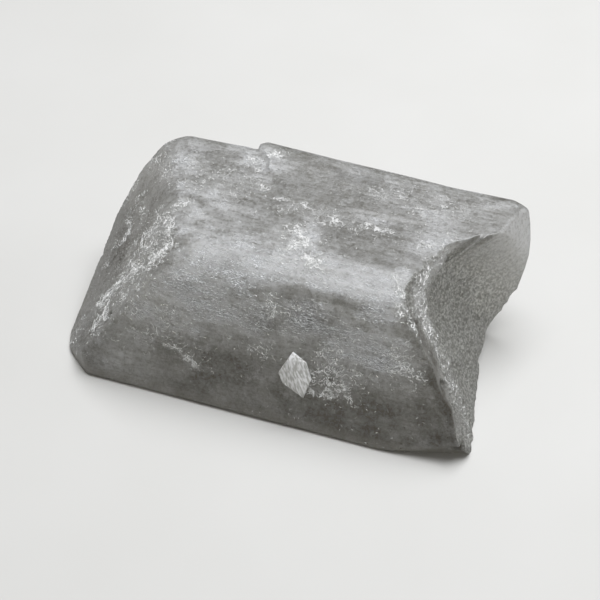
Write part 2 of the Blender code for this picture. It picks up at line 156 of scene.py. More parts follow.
# Small crystal grown on the front face: its centre as (x, z), and its sizes.
BUD_CENTRE = (3.5, 8.6)
BUD_LENGTH = 7.3
BUD_WIDTH = 4.6
BUD_RISE = 1.1
BUD_TURN_DEG = -68.0
BUD_SHOULDER = 0.45
BUD_CREST = (-0.40, 0.30)
BUD_BLEND = 0.08
BUD_LINE_HEIGHT = 0.035
BUD_GRID = (56, 36, 20)
BUD_OUTLINE = ((-0.50, 0.14), (-0.23, 0.48), (0.14, 0.48), (0.50, 0.05), (0.11, -0.49),
               (-0.12, -0.52))

# Growth ledges: face, place along X, place across the face, length, width, rise. Etching has worn
# the rise to a share of what it was.
LEDGE_WEAR = 0.35
LEDGES = (
    ("ridge", 10.0, 0.50, 18.0, 3.4, 0.34),
    ("top", -18.5, 0.42, 15.0, 5.0, 0.30),
    ("top", 10.0, 0.66, 13.0, 3.6, 0.30),
    ("top", -6.0, 0.16, 12.0, 3.0, 0.28),
    ("front", -13.5, 0.64, 18.0, 4.4, 0.32),
    ("front", 15.0, 0.30, 15.0, 4.0, 0.32),
    ("front", -18.0, 0.20, 16.0, 3.0, 0.28),
    ("back", -14.0, 0.45, 17.0, 5.5, 0.35),
    ("back", 12.0, 0.24, 14.0, 4.0, 0.30),
    ("chisel", 12.0, 0.30, 12.0, 5.2, 0.34),
    ("chisel", 21.0, 0.62, 9.0, 4.0, 0.30),
    ("chisel", 9.0, 0.74, 8.0, 3.0, 0.26),
)

# Chips knocked out of the edges: centre (x, y, z) and radius. They are longer along X.
CHIP_STRETCH = (1.5, 1.0, 1.0)
CHIP_FILL = 0.8
CHIP_BLEND = 0.15
CHIPS = (
    ((-13.8, 37.9, 22.6), 1.5), ((-17.2, 9.4, 21.9), 0.9),
    ((-20.6, 19.0, 22.3), 0.8), ((16.6, 10.2, 21.9), 1.1),
    ((24.6, 7.2, 10.3), 1.0), ((28.4, 3.0, 2.6), 1.1),
    ((30.6, 35.8, 13.6), 1.0), ((27.0, 24.0, 0.3), 0.9),
    ((-35.2, 22.0, 6.4), 0.9), ((-5.0, 28.9, 0.2), 1.0),
    ((-26.2, 6.6, 9.4), 0.8), ((9.0, 0.9, 0.0), 0.7),
)

# Grid over the surface: the corners of the box that it is cast from, left then right, each
# as front-low, back-low, front-high, back-high; and the line inside that the rays start from.
BOX_CORNERS = (
    ((-33.0, 2.6, 0.0), (-26.2, 30.2, 0.0), (-17.0, 8.8, 22.3), (-27.6, 38.0, 22.3)),
    ((29.5, 1.9, 0.0), (25.6, 30.2, 0.0), (16.9, 10.0, 22.3), (29.3, 38.0, 22.3)),
)
CORE_Y = 19.5
CORE_Z = 11.0
CORE_ENDS = (-16.0, 14.0)
CORE_SHARE = 0.9

# Faces along, across and up the grid, and where each way is finest: place, width and how much.
# A normal is measured over 0.15 mm each way.
GRID_COUNTS = (230, 96, 84)
GRID_CROWDING = ((0.55, 0.09, 0.9), (0.5, 0.2, 0.0), (0.36, 0.22, 0.7))
HALVINGS = 20
NORMAL_REACH = 0.15

# Milky clouds near the skin: centre (x, y, z), half length, half breadth, strength.
CLOUDS = (
    ((-6.5, 11.5, 22.0), 6.5, 3.8, 1.6), ((-9.5, 9.5, 20.5), 6.0, 2.4, 1.2),
    ((-13.0, 10.0, 20.5), 6.0, 3.0, 0.45), ((9.0, 12.0, 22.2), 7.0, 2.4, 1.5),
    ((15.6, 13.0, 22.3), 2.0, 3.0, 1.2), ((18.5, 23.0, 22.4), 3.0, 3.0, 0.8),
    ((0.5, 16.5, 22.4), 1.8, 4.6, 1.2), ((-21.1, 23.3, 22.4), 2.6, 2.4, 0.7),
    ((-11.8, 33.6, 22.6), 2.8, 2.0, 1.3), ((-18.0, 19.0, 22.3), 8.0, 6.0, 0.35),
    ((-12.0, 7.0, 16.2), 7.5, 4.5, 1.1), ((-5.0, 6.4, 15.5), 5.0, 3.0, 0.85),
    ((4.0, 7.0, 16.6), 7.0, 3.6, 0.70), ((14.0, 7.8, 19.8), 5.0, 2.6, 0.40),
    ((-25.5, 29.2, 22.3), 4.5, 5.0, 0.90), ((-22.0, 18.0, 21.0), 3.0, 5.0, 1.0),
    ((17.5, 30.0, 22.3), 8.0, 5.0, 0.22), ((-25.0, 3.6, 5.0), 7.0, 3.5, 0.24),
    ((-19.0, 6.0, 13.0), 5.0, 4.0, 0.55), ((-3.5, 5.9, 13.3), 3.6, 1.6, 0.45),
    ((12.5, 6.6, 14.5), 6.5, 4.2, 0.70), ((-30.5, 6.0, 4.5), 4.0, 4.0, 0.30),
    ((-8.0, 34.5, 13.0), 9.0, 4.0, 0.75), ((14.0, 33.2, 9.0), 8.0, 3.0, 0.70),
    ((4.0, 36.0, 18.0), 10.0, 2.5, 0.65), ((-22.0, 35.5, 17.0), 5.0, 3.0, 0.70),
)

# Zones where the skin is etched, so that white filaments cross it: as the clouds.
ETCHED = (
    ((-24.8, 14.2, 15.7), 3.0, 4.5, 0.50), ((-26.2, 9.6, 11.6), 2.6, 3.2, 0.55),
    ((-21.5, 14.0, 20.0), 3.5, 3.5, 0.55), ((-28.5, 7.5, 7.5), 2.0, 2.4, 0.60),
    ((-20.0, 5.5, 11.5), 4.5, 3.0, 0.18), ((-17.9, 27.6, 22.4), 4.5, 2.5, 0.35),
    ((-12.3, 27.6, 22.4), 4.0, 2.5, 0.35), ((8.8, 31.2, 22.5), 2.6, 1.5, 0.80),
    ((3.5, 23.5, 22.5), 7.0, 1.8, 0.40), ((17.5, 30.0, 22.4), 4.0, 3.0, 0.25),
    ((-0.6, 16.5, 22.4), 2.5, 3.5, 0.50), ((8.8, 4.4, 8.6), 3.2, 2.2, 0.70),
    ((18.8, 6.0, 13.5), 2.5, 2.5, 0.60), ((-2.2, 5.1, 11.1), 2.6, 1.3, 0.28),
    ((-12.0, 4.3, 8.0), 3.0, 1.2, 0.18), ((1.6, 7.4, 18.1), 3.0, 1.4, 0.25),
    ((-19.0, 34.0, 12.0), 4.0, 3.5, 0.45), ((19.0, 35.0, 15.0), 3.5, 3.0, 0.45),
    ((3.0, 33.0, 8.0), 5.0, 1.6, 0.35), ((19.0, 23.0, 22.4), 2.6, 2.4, 0.60),
)

# Clear windows, where there is no milk, painted dark as shade for the inside seen through them: as the
# clouds.
WINDOWS = (
    ((-6.5, 4.0, 7.7), 8.5, 3.0, 1.0), ((-1.5, 6.6, 15.2), 3.4, 2.0, 0.7),
    ((4.5, 7.1, 17.0), 4.4, 2.0, 0.7), ((8.6, 4.3, 8.6), 2.2, 1.6, 0.9),
    ((15.7, 3.6, 5.7), 6.5, 3.4, 1.1), ((-16.0, 4.0, 8.5), 5.0, 3.0, 0.75),
    ((-28.5, 28.0, 17.0), 5.0, 4.0, 0.7), ((-30.0, 6.0, 5.0), 4.0, 5.0, 1.0),
    ((-30.5, 20.0, 11.5), 4.0, 9.0, 1.0), ((-25.5, 20.0, 17.5), 2.5, 7.0, 0.75),
    ((-12.0, 31.0, 22.4), 6.0, 2.5, 0.20), ((5.0, 21.0, 22.4), 5.0, 2.4, 0.48),
    ((10.5, 17.0, 22.4), 6.0, 1.6, 0.45), ((-1.5, 20.5, 22.4), 2.2, 1.8, 0.25),
    ((14.0, 25.0, 22.4), 14.0, 8.0, 0.30), ((0.0, 32.0, 6.0), 9.0, 3.0, 0.70),
    ((-15.0, 35.5, 17.0), 5.0, 2.5, 0.60), ((20.0, 34.0, 13.0), 6.0, 3.0, 0.50),
)

# Heights between which the milky film grows denser, in part as painted light on the top, and between
# which the painted shade low on the front face fades out; how strong that painted shade is, and from
# where to where along X it fades in.
FILM_AND_TOP_LIGHT_HEIGHTS = (6.0, 21.0)
PAINTED_SHADE_HEIGHTS = (5.0, 15.0)
PAINTED_FRONT_SHADE = 0.74
PAINTED_SHADE_FROM = (-27.0, -10.0)

# Bruises: white lines where the skin is crushed or etched, as paths of (x, y, z), with a width.
# They are sunk, and noise bends them sideways.
BRUISE_DEPTH = 0.10
BRUISE_BEND = 0.55
BRUISES = (
    (((-18.9, 20.3, 22.4), (-21.8, 18.6, 19.8), (-23.8, 17.1, 17.8)), 0.9),
    (((-20.6, 16.6, 21.6), (-18.6, 11.5, 20.9), (-21.2, 10.5, 17.9), (-25.2, 12.0, 13.7)), 1.1),
    (((-25.2, 12.0, 13.7), (-28.0, 11.6, 10.2), (-30.3, 10.9, 7.1)), 1.0),
    (((-28.0, 9.5, 9.2), (-28.6, 7.2, 7.3), (-29.6, 6.0, 5.6)), 0.7),
    (((-30.4, 24.0, 13.2), (-29.6, 22.7, 13.5), (-29.5, 21.2, 12.9)), 0.5),
    (((-16.8, 4.2, 8.4), (-14.6, 4.1, 8.3), (-13.4, 3.7, 7.0), (-11.6, 3.4, 6.0)), 0.5),
    (((-1.9, 7.7, 19.1), (-0.7, 7.3, 18.0), (-1.4, 6.9, 16.6)), 0.6),
    (((-6.7, 25.5, 22.6), (-1.0, 24.9, 22.6)), 0.45),
    (((7.2, 23.2, 22.6), (12.5, 23.2, 22.6)), 0.45),
    (((-1.8, 20.2, 22.6), (0.4, 16.8, 22.6), (1.8, 14.6, 22.6), (4.0, 12.8, 22.4)), 1.0),
    (((6.6, 5.7, 12.9), (9.6, 5.9, 13.6)), 0.45),
    (((6.0, 4.2, 9.4), (8.4, 4.9, 10.6), (10.6, 4.6, 9.6), (11.0, 4.0, 8.0), (8.8, 3.7, 6.6)), 0.45),
    (((5.4, 3.6, 7.4), (7.0, 3.4, 6.2), (8.8, 3.6, 6.7)), 0.5),
    (((-13.6, 33.2, 22.6), (-11.6, 34.0, 22.6), (-9.6, 35.4, 22.6)), 1.0),
    (((-12.6, 33.6, 22.6), (-11.6, 31.4, 22.6), (-10.4, 30.2, 22.6)), 0.6),
    (((15.4, 14.4, 22.4), (16.4, 11.6, 21.8), (17.4, 9.2, 20.0)), 0.6),
    (((17.4, 9.2, 20.0), (20.2, 8.6, 16.2), (22.6, 6.6, 12.6)), 0.4),
    (((16.4, 6.9, 14.6), (18.8, 6.2, 13.8), (19.8, 5.6, 12.4)), 0.5),
    (((17.3, 10.2, 21.0), (18.4, 9.3, 19.9), (19.7, 8.9, 18.2)), 0.55),
)


def linear(hex_colour):
    """An sRGB hex colour as linear red, green, blue and alpha."""
    parts = [int(hex_colour[at:at + 2], 16) / 255 for at in (1, 3, 5)]
    return tuple(c / 12.92 if c <= 0.04045 else ((c + 0.055) / 1.055) ** 2.4 for c in parts) + (1.0,)


def colour_property(name, hex_colour, description):
    """A colour that a user can change."""
    return FloatVectorProperty(name=name, description=description, subtype="COLOR", size=4,
                               min=0.0, max=1.0, default=linear(hex_colour))


def length_property(name, millimetres, description):
    """A length that a user can change."""
    return FloatProperty(name=name, description=description, subtype="DISTANCE", unit="LENGTH",
                         min=0.0, default=millimetres * MM)


class DanburiteSizes(bpy.types.PropertyGroup):
    """Sizes of the crystal's relief."""

    terrace: length_property("Terrace depth", 0.022, "Depth of the broad terraces along the prism")
    terrace_width: length_property("Terrace width", 2.3, "Width of one terrace")
    striation: length_property("Striation depth", 0.018, "Depth of the fine growth lines")
    striation_width: length_property("Striation width", 0.85, "Width of one fine growth line")
    undulation: length_property("Undulation", 0.12, "Height of the faces' slow waves")
    etching: length_property("Etching depth", 0.07, "Depth of the etched ridges on the chisel face")
    pit: length_property("Pit depth", 0.05, "Depth of the small etch pits")
    grain: length_property("Grain depth", 0.14, "Roughness of the broken end")
    density: FloatProperty(name="Grid density", description="Share of the full count of faces",
                           subtype="FACTOR", min=0.2, max=1.0, default=1.0)


class DanburiteColours(bpy.types.PropertyGroup):
    """Colours of the crystal and the floor."""

    clear: colour_property("Clear", "#B8B8B4", "Tint of the clear crystal")
    shade: colour_property("Shade", "#858278", "The clear crystal between its growth lines")
    milky: colour_property("Milky", "#FFFFFF", "The milky clouds under the skin")
    # The deep colour is painted shade: the dark inside seen through clear places, not a colour of the
    # crystal.
    painted_deep_shade: colour_property("Deep", "#4A4335", "Places without clouds, where the inside shows")
    # Painted light: the rim colour stands for light glowing through the thin edges.
    rim: colour_property("Rim", "#80786A", "Thin edges, which light comes through")
    silk: colour_property("Silk", "#C3C3BE", "The small crystal between its bright lines")
    bruised: colour_property("Bruised", "#FFFFFF", "Crushed and etched places")
    broken: colour_property("Broken", "#6E6D64", "The grains of the broken end")
    # Painted glints: the bright grains of the break, coloured as if catching the light.
    painted_glint: colour_property("Sparkle", "#F2F2EC", "The bright grains of the broken end")
    depth: colour_property("Depth", "#DAD8D1", "What the crystal takes on with thickness")
    floor: colour_property("Floor", "#C3C2BE", "The studio floor")


class DanburiteStudio(bpy.types.PropertyGroup):
    """Camera and light."""

    azimuth: FloatProperty(name="Azimuth", description="Camera's turn about the crystal",
                           subtype="ANGLE", default=math.radians(18.0))
    elevation: FloatProperty(name="Elevation", description="Camera's height above the horizon",
                             subtype="ANGLE", default=math.radians(43.0))
    distance: length_property("Distance", 212.4, "From the camera to what it looks at")
    key: FloatProperty(name="Key light", description="Power of the large overhead light",
                       unit="POWER", min=0.0, default=3.15)
    fill: FloatProperty(name="Fill", description="Strength of the light from all round",
                        min=0.0, default=0.25)
    seed: IntProperty(name="Seed", description="Seed of the loose choices", min=0, default=SEED)


# Danburite's refraction; how much light the frosted skin and the milky small crystal let in; how
# much the crystal absorbs over a metre; the skin's roughness, smoothest and most etched; and how
# strongly the fine relief catches the light.
DANBURITE_IOR = 1.633
TRANSMISSION = 0.72
BUD_TRANSMISSION = 0.15
DEPTH_DENSITY = 30.0
SATIN = (0.26, 0.42)
BUD_SATIN = 0.34
BUMP = 0.18
BUD_BUMP = 0.3
POWDER_SHADE = "#D0D0CD"
FLOOR_MOTTLE = "#CAC9C6"

# How much of the skin's pattern is mottle and not streaks, and how strongly each thing tints it:
# threads and specks in the clouds, the specks partly painted glints; etched lines on the chisel face;
# the painted glow of thin edges; and grains.
MOTTLE_SHARE = 0.62
LOOSE_WHITE = 0.40
ETCHED_WHITE = 0.45
GLOW_RIM_SHARE = 0.5
GRAIN_SHARE = 0.8

# Etched filaments, coarse and fine: spacing in mm, detail, roughness, distortion, how far from the
# noise's middle they reach, and strength.
FILAMENTS = ((1.7, 3.0, 0.60, 1.8, 0.045, 1.0), (0.8, 2.0, 0.55, 1.4, 0.060, 0.7))

# White splinters, the crushed ones and the needles of the clouds, in mm. CRUSHED_WIDTHS is the
# narrowest and how much wider the widest is. A lean or turn is the spread of a direction.
SPLINTER_LIMIT = 48000
CRUSHED_TRIES = 3000000
CRUSHED_LENGTHS = (0.15, 0.80)
CRUSHED_WIDTHS = (0.03, 0.12)
CRUSHED_THICKNESS = 0.06
CRUSHED_LEAN = 0.15
CRUSHED_CHISEL = 0.15
CRUSHED_ANYWHERE = 0.004
VEIN_WIDTH = 0.14
VEIN_REACH = 0.05
NEEDLE_TRIES = 2600000
NEEDLE_LENGTHS = (0.2, 1.1)
NEEDLE_WIDTHS = (0.03, 0.08)
NEEDLE_THICKNESS = 0.04
NEEDLE_LEAN = 0.2
NEEDLE_TURN = 0.05
NEEDLE_DEPTH = 0.6
PROUD = 0.02

# Studio: each light's name, its place and size in metres, and its share of the key light's power.
# The camera's lens, sensor and target and half the floor's side are in mm.
LAMPS = (("key", (0.05, 0.10, 0.45), 0.34, 1.0), ("side", (0.42, 0.16, 0.22), 0.20, 0.08))
LAMP_COLOUR = "#F9FBFF"
WORLD_COLOUR = "#F3F1EC"
LENS = 85.0
SENSOR = 36.0
CAMERA_TARGET = (0.0, 17.0, 11.0)
FLOOR_HALF = 1200.0

# Masks over the skin. Its material uses all but the last.
MASKS = ("broken", "milk", "painted_shade", "scar", "rim", "chisel", "under")

ALONG = np.array((1.0, 0.0, 0.0))
UP = np.array((0.0, 0.0, 1.0))


def unit(vectors):
    """Vectors made unit length."""
    return vectors / np.maximum(np.linalg.norm(vectors, axis=-1, keepdims=True), 1e-9)


GRADIENT_COUNT = 1024
GRADIENTS = unit(np.random.default_rng(SEED).normal(size=(GRADIENT_COUNT, 3)))


def noise(points, spacing, channel):
    """Gradient noise from about -1 to 1.

    Each corner of the unit cell round a point has a random direction; the noise is the sum over
    the 8 corners of (direction . offset from the corner), weighted by a smooth share that is 1
    at the corner and 0 at the cell's far side, times 1.6. spacing is the cell in mm, for all axes
    or each.
    """
    place = points / np.asarray(spacing, float) + channel * 17.17
    cell = np.floor(place)
    part = place - cell
    cell = cell.astype(np.int64)
    fade = part ** 3 * (part * (part * 6 - 15) + 10)
    total = np.zeros(len(points))
    for corner in np.ndindex(2, 2, 2):
        at = cell + corner
        slot = (at[:, 0] * 73856093 ^ at[:, 1] * 19349663 ^ at[:, 2] * 83492791) % GRADIENT_COUNT
        share = np.where(corner, fade, 1.0 - fade).prod(axis=1)
        total += share * ((part - corner) * GRADIENTS[slot]).sum(axis=1)
    return total * 1.6


def bends(points, spacing, channel):
    """Three noises, one for each axis, to bend places with."""
    return np.stack([noise(points, spacing, channel + axis) for axis in range(3)], axis=1)


def slopes(points, field, reach):
    """A field's rise along each axis, from reach behind each point to reach ahead of it."""
    rises = [field(points + step) - field(points - step) for step in np.eye(3) * reach]
    return np.stack(rises, axis=1)


def smooth_step(low, high, value):
    """0 below low, 1 above high, and 3t^2 - 2t^3 between them."""
    share = np.clip((value - low) / (high - low), 0.0, 1.0)
    return share * share * (3.0 - 2.0 * share)


def smooth_max(first, second, width):
    """The larger of two fields, raised by up to width / 4 where they are nearly equal."""
    near = np.maximum(width - np.abs(first - second), 0.0) / width
    return np.maximum(first, second) + near * near * width / 4


def plane_field(points, plane):
    """Distance beyond a plane given as a normal and a distance from the origin."""
    normal = np.array(plane[0])
    return points @ (normal / np.linalg.norm(normal)) - plane[1]


def section_place(points):
    """Place in the section: p from front to back and q from base to top, both 0 to 1."""
    q = points[:, 2] / HEIGHT
    p = (points[:, 1] - FRONT_FOOT_Y - LEAN * q) / WIDTH
    return np.clip(p, 0.0, 1.0), np.clip(q, 0.0, 1.0)


def overgrowth_share(points):
    """How thick the later growth is: 0 left of its stepped end, and thinning to 0 on the right."""
    rim_x, rim_y = np.array(OVERGROWTH_RIM).T
    edge = np.interp(points[:, 1], rim_y, rim_x) + 0.6 * noise(points, 1.6, 1)
    thinning = (OVERGROWTH_END_X - points[:, 0]) / (OVERGROWTH_END_X - OVERGROWTH_LEFT_X)
    slope = 4.0 - 3.7 * smooth_step(28.0, 33.0, points[:, 1])
    share = smooth_step(0.0, 1.0, (points[:, 0] - edge) / slope + 0.5)
    return share * np.clip(thinning, 0.0, 1.0)


def pan_share(p, q):
    """1 inside the pan of the broken end: past its leaning left edge, above its sloping lower
    edge, and fading towards the back."""
    left = PAN_EDGE + PAN_EDGE_LEAN * smooth_step(PAN_LEAN_FROM, PAN_LEAN_TO, q)
    floor = PAN_FLOOR - PAN_FLOOR_SLOPE * p
    past_left = smooth_step(-PAN_EDGE_WIDTH, PAN_EDGE_WIDTH, p - left)
    before_back = 1.0 - smooth_step(PAN_BACK_FROM, 1.0, p)
    return past_left * before_back * smooth_step(-PAN_FLOOR_WIDTH, PAN_FLOOR_WIDTH, q - floor)


def shoulder_share(p, q):
    """1 on the shoulder of the broken end: past an edge that draws back and softens below the top."""
    edge = SHOULDER_EDGE + SHOULDER_RETREAT * (1.0 - q)
    width = SHOULDER_EDGE_WIDTH + SHOULDER_FADE * (1.0 - q)
    return smooth_step(edge - width, edge + width, p)


def broken_reach(points):
    """X of the broken end: a plane blended between its four corners, bowed out at mid height,
    hollowed by sin(pi p) sin(pi q) and by the pan, and left standing on the shoulder."""
    p, q = section_place(points)
    along_top = REACH_RIDGE + (REACH_TOP_BACK - REACH_RIDGE) * p ** TOP_SWEEP
    along_base = REACH_FOOT + (REACH_BASE_BACK - REACH_FOOT) * p + BASE_BOW * np.sin(np.pi * p)
    mid_height = np.sin(np.pi * q)
    bow = (FRONT_BOW * (1 - p) + BACK_BOW * p) * mid_height
    hollow = HOLLOW_DEPTH * np.sin(np.pi * p) * mid_height + PAN_DROP * pan_share(p, q)
    scooped = along_base + (along_top - along_base) * q + bow - hollow
    back_reach = REACH_BASE_BACK + (REACH_TOP_BACK - REACH_BASE_BACK) * q + BACK_BOW * mid_height
    standing = back_reach - SHOULDER_TAPER * (1.0 - p)
    return scooped + (standing - scooped) * shoulder_share(p, q)


def front_edges(x):
    """Y of the front face's foot and of the ridge above it, at a place along the crystal."""
    return FRONT_FOOT_Y - FOOT_FLARE * x, FRONT_FOOT_Y + LEAN + RIDGE_DRIFT * x


def prism_field(points):
    """Distance beyond the prism's front, top, back and base, blended along their edges."""
    x, y, z = points.T
    cosine = HEIGHT / math.hypot(HEIGHT, LEAN)
    foot, ridge = front_edges(x)
    growth = overgrowth_share(points)
    front = (foot + (ridge - foot) * z / HEIGHT - y) * cosine
    top = z - HEIGHT - OVERGROWTH_TOP * growth
    back = (y - FRONT_FOOT_Y - WIDTH - LEAN * z / HEIGHT - OVERGROWTH_BACK * growth) * cosine
    sides = smooth_max(smooth_max(front, top, RIDGE_BLEND), back, BACK_EDGE_BLEND)
    return smooth_max(sides, -z, FOOT_BLEND)


def break_field(points):
    """Distance beyond the broken end, with its coarse grain, which is faint on the shoulder, and
    its jagged front. It is scaled by 0.9, as the end is never quite square to X."""
    grain = noise(points, 2.3, 2) + 0.5 * noise(points, 1.1, 3)
    p, q = section_place(points)
    depth = BREAK_GRAIN * (1.0 - 0.7 * shoulder_share(p, q))
    jagged = JAGGED_FRONT * (1.0 - smooth_step(0.05, 0.35, p)) * noise(points, 3.6, 5)
    return (points[:, 0] - broken_reach(points) - depth * grain - jagged) * 0.9


def crystal_field(points):
    """Below 0 inside the crystal: the prism cut by the chisel faces, the corner facets, the
    broken end and the chips."""
    field = prism_field(points)
    worn = CHISEL_LOW_BLEND + (CHISEL_BLEND - CHISEL_LOW_BLEND) * smooth_step(7.0, 20.0, points[:, 2])
    field = smooth_max(field, plane_field(points, CHISEL_UPPER), worn)
    field = smooth_max(field, plane_field(points, CHISEL_LOWER), CHISEL_LOW_BLEND)
    for facet in CORNER_FACETS:
        field = smooth_max(field, plane_field(points, facet), CORNER_BLEND)
    field = smooth_max(field, break_field(points), BREAK_BLEND)
    wobble = 1.0 + 0.35 * noise(points, 1.3, 4)
    for centre, radius in CHIPS:
        away = np.linalg.norm((points - centre) / CHIP_STRETCH, axis=1)
        field = smooth_max(field, radius * CHIP_FILL * wobble - away, CHIP_BLEND)
    return field


def front_axes():
    """The front face's upward and outward directions."""
    upward = np.array((0.0, LEAN, HEIGHT)) / math.hypot(LEAN, HEIGHT)
    return upward, np.array((0.0, -upward[2], upward[1]))


def bud_planes():
    """The planes of the small crystal: the hull of its outline, sunk and raised, and its crest."""
    upward, outward = front_axes()
    x, z = BUD_CENTRE
    foot, ridge = front_edges(x)
    centre = np.array((x, foot + (ridge - foot) * z / HEIGHT, z))
    turn = math.radians(BUD_TURN_DEG)
    lengthwise = (ALONG * math.cos(turn) + upward * math.sin(turn)) * BUD_LENGTH
    crosswise = (upward * math.cos(turn) - ALONG * math.sin(turn)) * BUD_WIDTH
    hull = bmesh.new()
    for length, width in BUD_OUTLINE:
        place = centre + lengthwise * length + crosswise * width
        hull.verts.new(place - outward * BUD_RISE)
        hull.verts.new(place + outward * BUD_RISE * BUD_SHOULDER)
    for length in BUD_CREST:
        hull.verts.new(centre + lengthwise * length + outward * BUD_RISE)
    bmesh.ops.convex_hull(hull, input=hull.verts)
    bmesh.ops.recalc_face_normals(hull, faces=hull.faces)
    normals = np.array([face.normal for face in hull.faces])
    places = np.array([face.verts[0].co for face in hull.faces])
    hull.free()
    return normals, (normals * places).sum(axis=1), lengthwise / BUD_LENGTH, centre


BUD_NORMALS, BUD_DISTANCES, BUD_AXIS, BUD_PLACE = bud_planes()


def bud_field(points):
    """Distance beyond the small crystal: its planes, with a narrow blend between each two."""
    field = points @ BUD_NORMALS[0] - BUD_DISTANCES[0]
    for normal, distance in zip(BUD_NORMALS[1:], BUD_DISTANCES[1:]):
        field = smooth_max(field, points @ normal - distance, BUD_BLEND)
    return field


def ease(count, crowd_at, crowd_width, crowd):
    """count + 1 shares from 0 to 1, closer together round one place.

    The shares are the running sum of steps of length 1 / (1 + crowd e^(-((t - place) / width)^2)).
    """
    middle = (np.arange(count) + 0.5) / count
    step = 1.0 / (1.0 + crowd * np.exp(-((middle - crowd_at) / crowd_width) ** 2))
    shares = np.concatenate(([0.0], np.cumsum(step)))
    return shares / shares[-1]


def box_grid(counts):
    """A closed grid over a box: every lattice point on its six sides once, and its quads.

    A point is (i, j, k); a quad joins neighbours that share one side of the box.
    """
    keys, quads, key_base = [], [], 0
    sizes = np.array(counts)
    for axis in range(3):
        first, second = (axis + 1) % 3, (axis + 2) % 3
        rows, columns = np.meshgrid(np.arange(sizes[first] + 1), np.arange(sizes[second] + 1),
                                    indexing="ij")
        index = np.arange(rows.size).reshape(rows.shape)
        loop = np.stack((index[:-1, :-1], index[1:, :-1], index[1:, 1:], index[:-1, 1:]), axis=-1)
        for end in (0, sizes[axis]):
            point = np.zeros((rows.size, 3), int)
            point[:, axis] = end
            point[:, first] = rows.ravel()
            point[:, second] = columns.ravel()
            keys.append(point)
            turned = loop if end else loop[..., ::-1]
            quads.append(turned.reshape(-1, 4) + key_base)
            key_base += rows.size
    keys = np.concatenate(keys)
    points, merged = np.unique(keys, axis=0, return_inverse=True)
    return points, merged.ravel()[np.concatenate(quads)]


def meet(field, start, course, nearest, farthest):
    """Where rays from inside meet the zero level of a field, found by halving each ray again and
    again between two shares of its course."""
    near, far = np.full(len(course), nearest), np.full(len(course), farthest)
    for _ in range(HALVINGS):
        middle = (near + far) / 2
        inside = field(start + course * middle[:, None]) < 0
        near = np.where(inside, middle, near)
        far = np.where(inside, far, middle)
    return start + course * ((near + far) / 2)[:, None]


def cast_surface(density):
    """Points on the crystal's surface and the quads between them.

    Each lattice point of a box becomes a point of a six-sided block by blending its corners, first
    along X, then from front to back, then upward. A ray from the core through that point meets the
    zero level of the field.
    """
    counts = [max(8, int(count * density)) for count in GRID_COUNTS]
    lattice, quads = box_grid(counts)
    u, v, w = (ease(count, *crowding)[steps][:, None]
               for count, crowding, steps in zip(counts, GRID_CROWDING, lattice.T))
    left, right = np.array(BOX_CORNERS)
    edges = left + (right - left) * u[..., None]
    front, back = edges[:, 0::2], edges[:, 1::2]
    sides = front + (back - front) * v[..., None]
    target = sides[:, 0] + (sides[:, 1] - sides[:, 0]) * w
    core = np.full(target.shape, (0.0, CORE_Y, CORE_Z))
    core[:, 0] = np.clip(target[:, 0], *CORE_ENDS) * CORE_SHARE
    course = target - core
    return meet(crystal_field, core, course, 0.2, 1.9), quads


def ledge_place(face, along, across):
    """The middle of a ledge on its face, and the face's outward, lengthwise and crosswise ways."""
    if face == "chisel":
        outward = unit(np.array(CHISEL_UPPER[0]))
        lengthwise = unit(np.cross(outward, CHISEL_LOWER[0]))
        lengthwise = lengthwise * np.sign(lengthwise[1])
        crosswise = np.cross(outward, lengthwise)
        upslope = crosswise * np.sign(crosswise[2])
        centre = CHISEL_LOW_CORNER + lengthwise * along + upslope * CHISEL_SLOPE * across
        return centre, outward, lengthwise, crosswise
    front = front_axes()[1]
    foot_y, ridge_y = front_edges(along)
    foot, ridge = np.array((along, foot_y, 0.0)), np.array((along, ridge_y, HEIGHT))
    base_back = np.array((along, FRONT_FOOT_Y + WIDTH, 0.0))
    top_back = base_back + (0.0, LEAN, HEIGHT)
    faces = {"front": (foot, ridge, front), "ridge": (ridge, ridge, front + UP),
             "top": (ridge, top_back, UP), "back": (base_back, top_back, -front)}
    low, high, outward = faces[face]
    outward = unit(outward)
    return low + (high - low) * across, outward, ALONG, np.cross(outward, ALONG)


def ledge_relief(points, normals):
    """Height of the growth ledges: each is rise inside a long rectangle whose ends are stepped."""
    height = np.zeros(len(points))
    for channel, (face, along, across, length, width, rise) in enumerate(LEDGES):
        centre, outward, lengthwise, crosswise = ledge_place(face, along, across)
        away = points - centre
        u, v = away @ lengthwise, away @ crosswise
        facing = smooth_step(0.80, 0.92, normals @ outward)
        row = np.floor((v / width + 0.5) * 5.0)
        steps = np.stack((row * 3.3, np.full(len(row), channel * 5.1), np.sign(u) * 2.7), axis=1)
        half = length * (0.5 + 0.14 * noise(steps, 1.0, 20)) + 0.35 * noise(points, 0.9, 21)
        side = width * 0.5 + 0.25 * noise(points, (3.0, 1.0, 1.0), 22)
        inside = smooth_step(0.0, 3.0, half - np.abs(u)) * smooth_step(0.0, 0.6, side - np.abs(v))
        height = np.maximum(height, LEDGE_WEAR * rise * inside * facing)
    return height


def blobs(points, places):
    """Soft lumps: strength e^(-r^2), r measured in half lengths along X and half breadths across."""
    total = np.zeros(len(points))
    for centre, length, breadth, strength in places:
        away = (points - centre) / (length, breadth, breadth)
        total = np.maximum(total, strength * np.exp(-(away ** 2).sum(axis=1)))
    return total


def band(points, path, width):
    """A soft line: e^(-(d / width)^2), d the distance to the nearest stretch of a path of straight
    stretches."""
    nearest = np.full(len(points), 99.0)
    for start, end in zip(path, path[1:]):
        start, course = np.array(start), np.subtract(end, start)
        share = np.clip((points - start) @ course / (course @ course), 0.0, 1.0)
        away = np.linalg.norm(points - start - share[:, None] * course, axis=1)
        nearest = np.minimum(nearest, away)
    return np.exp(-(nearest / width) ** 2)


def bruise_mask(points):
    """Crushed lines: the strongest of the bruises' bands, bent by noise."""
    bent = points + BRUISE_BEND * bends(points, 1.5, 30)
    return np.max([band(bent, path, width) for path, width in BRUISES], axis=0)


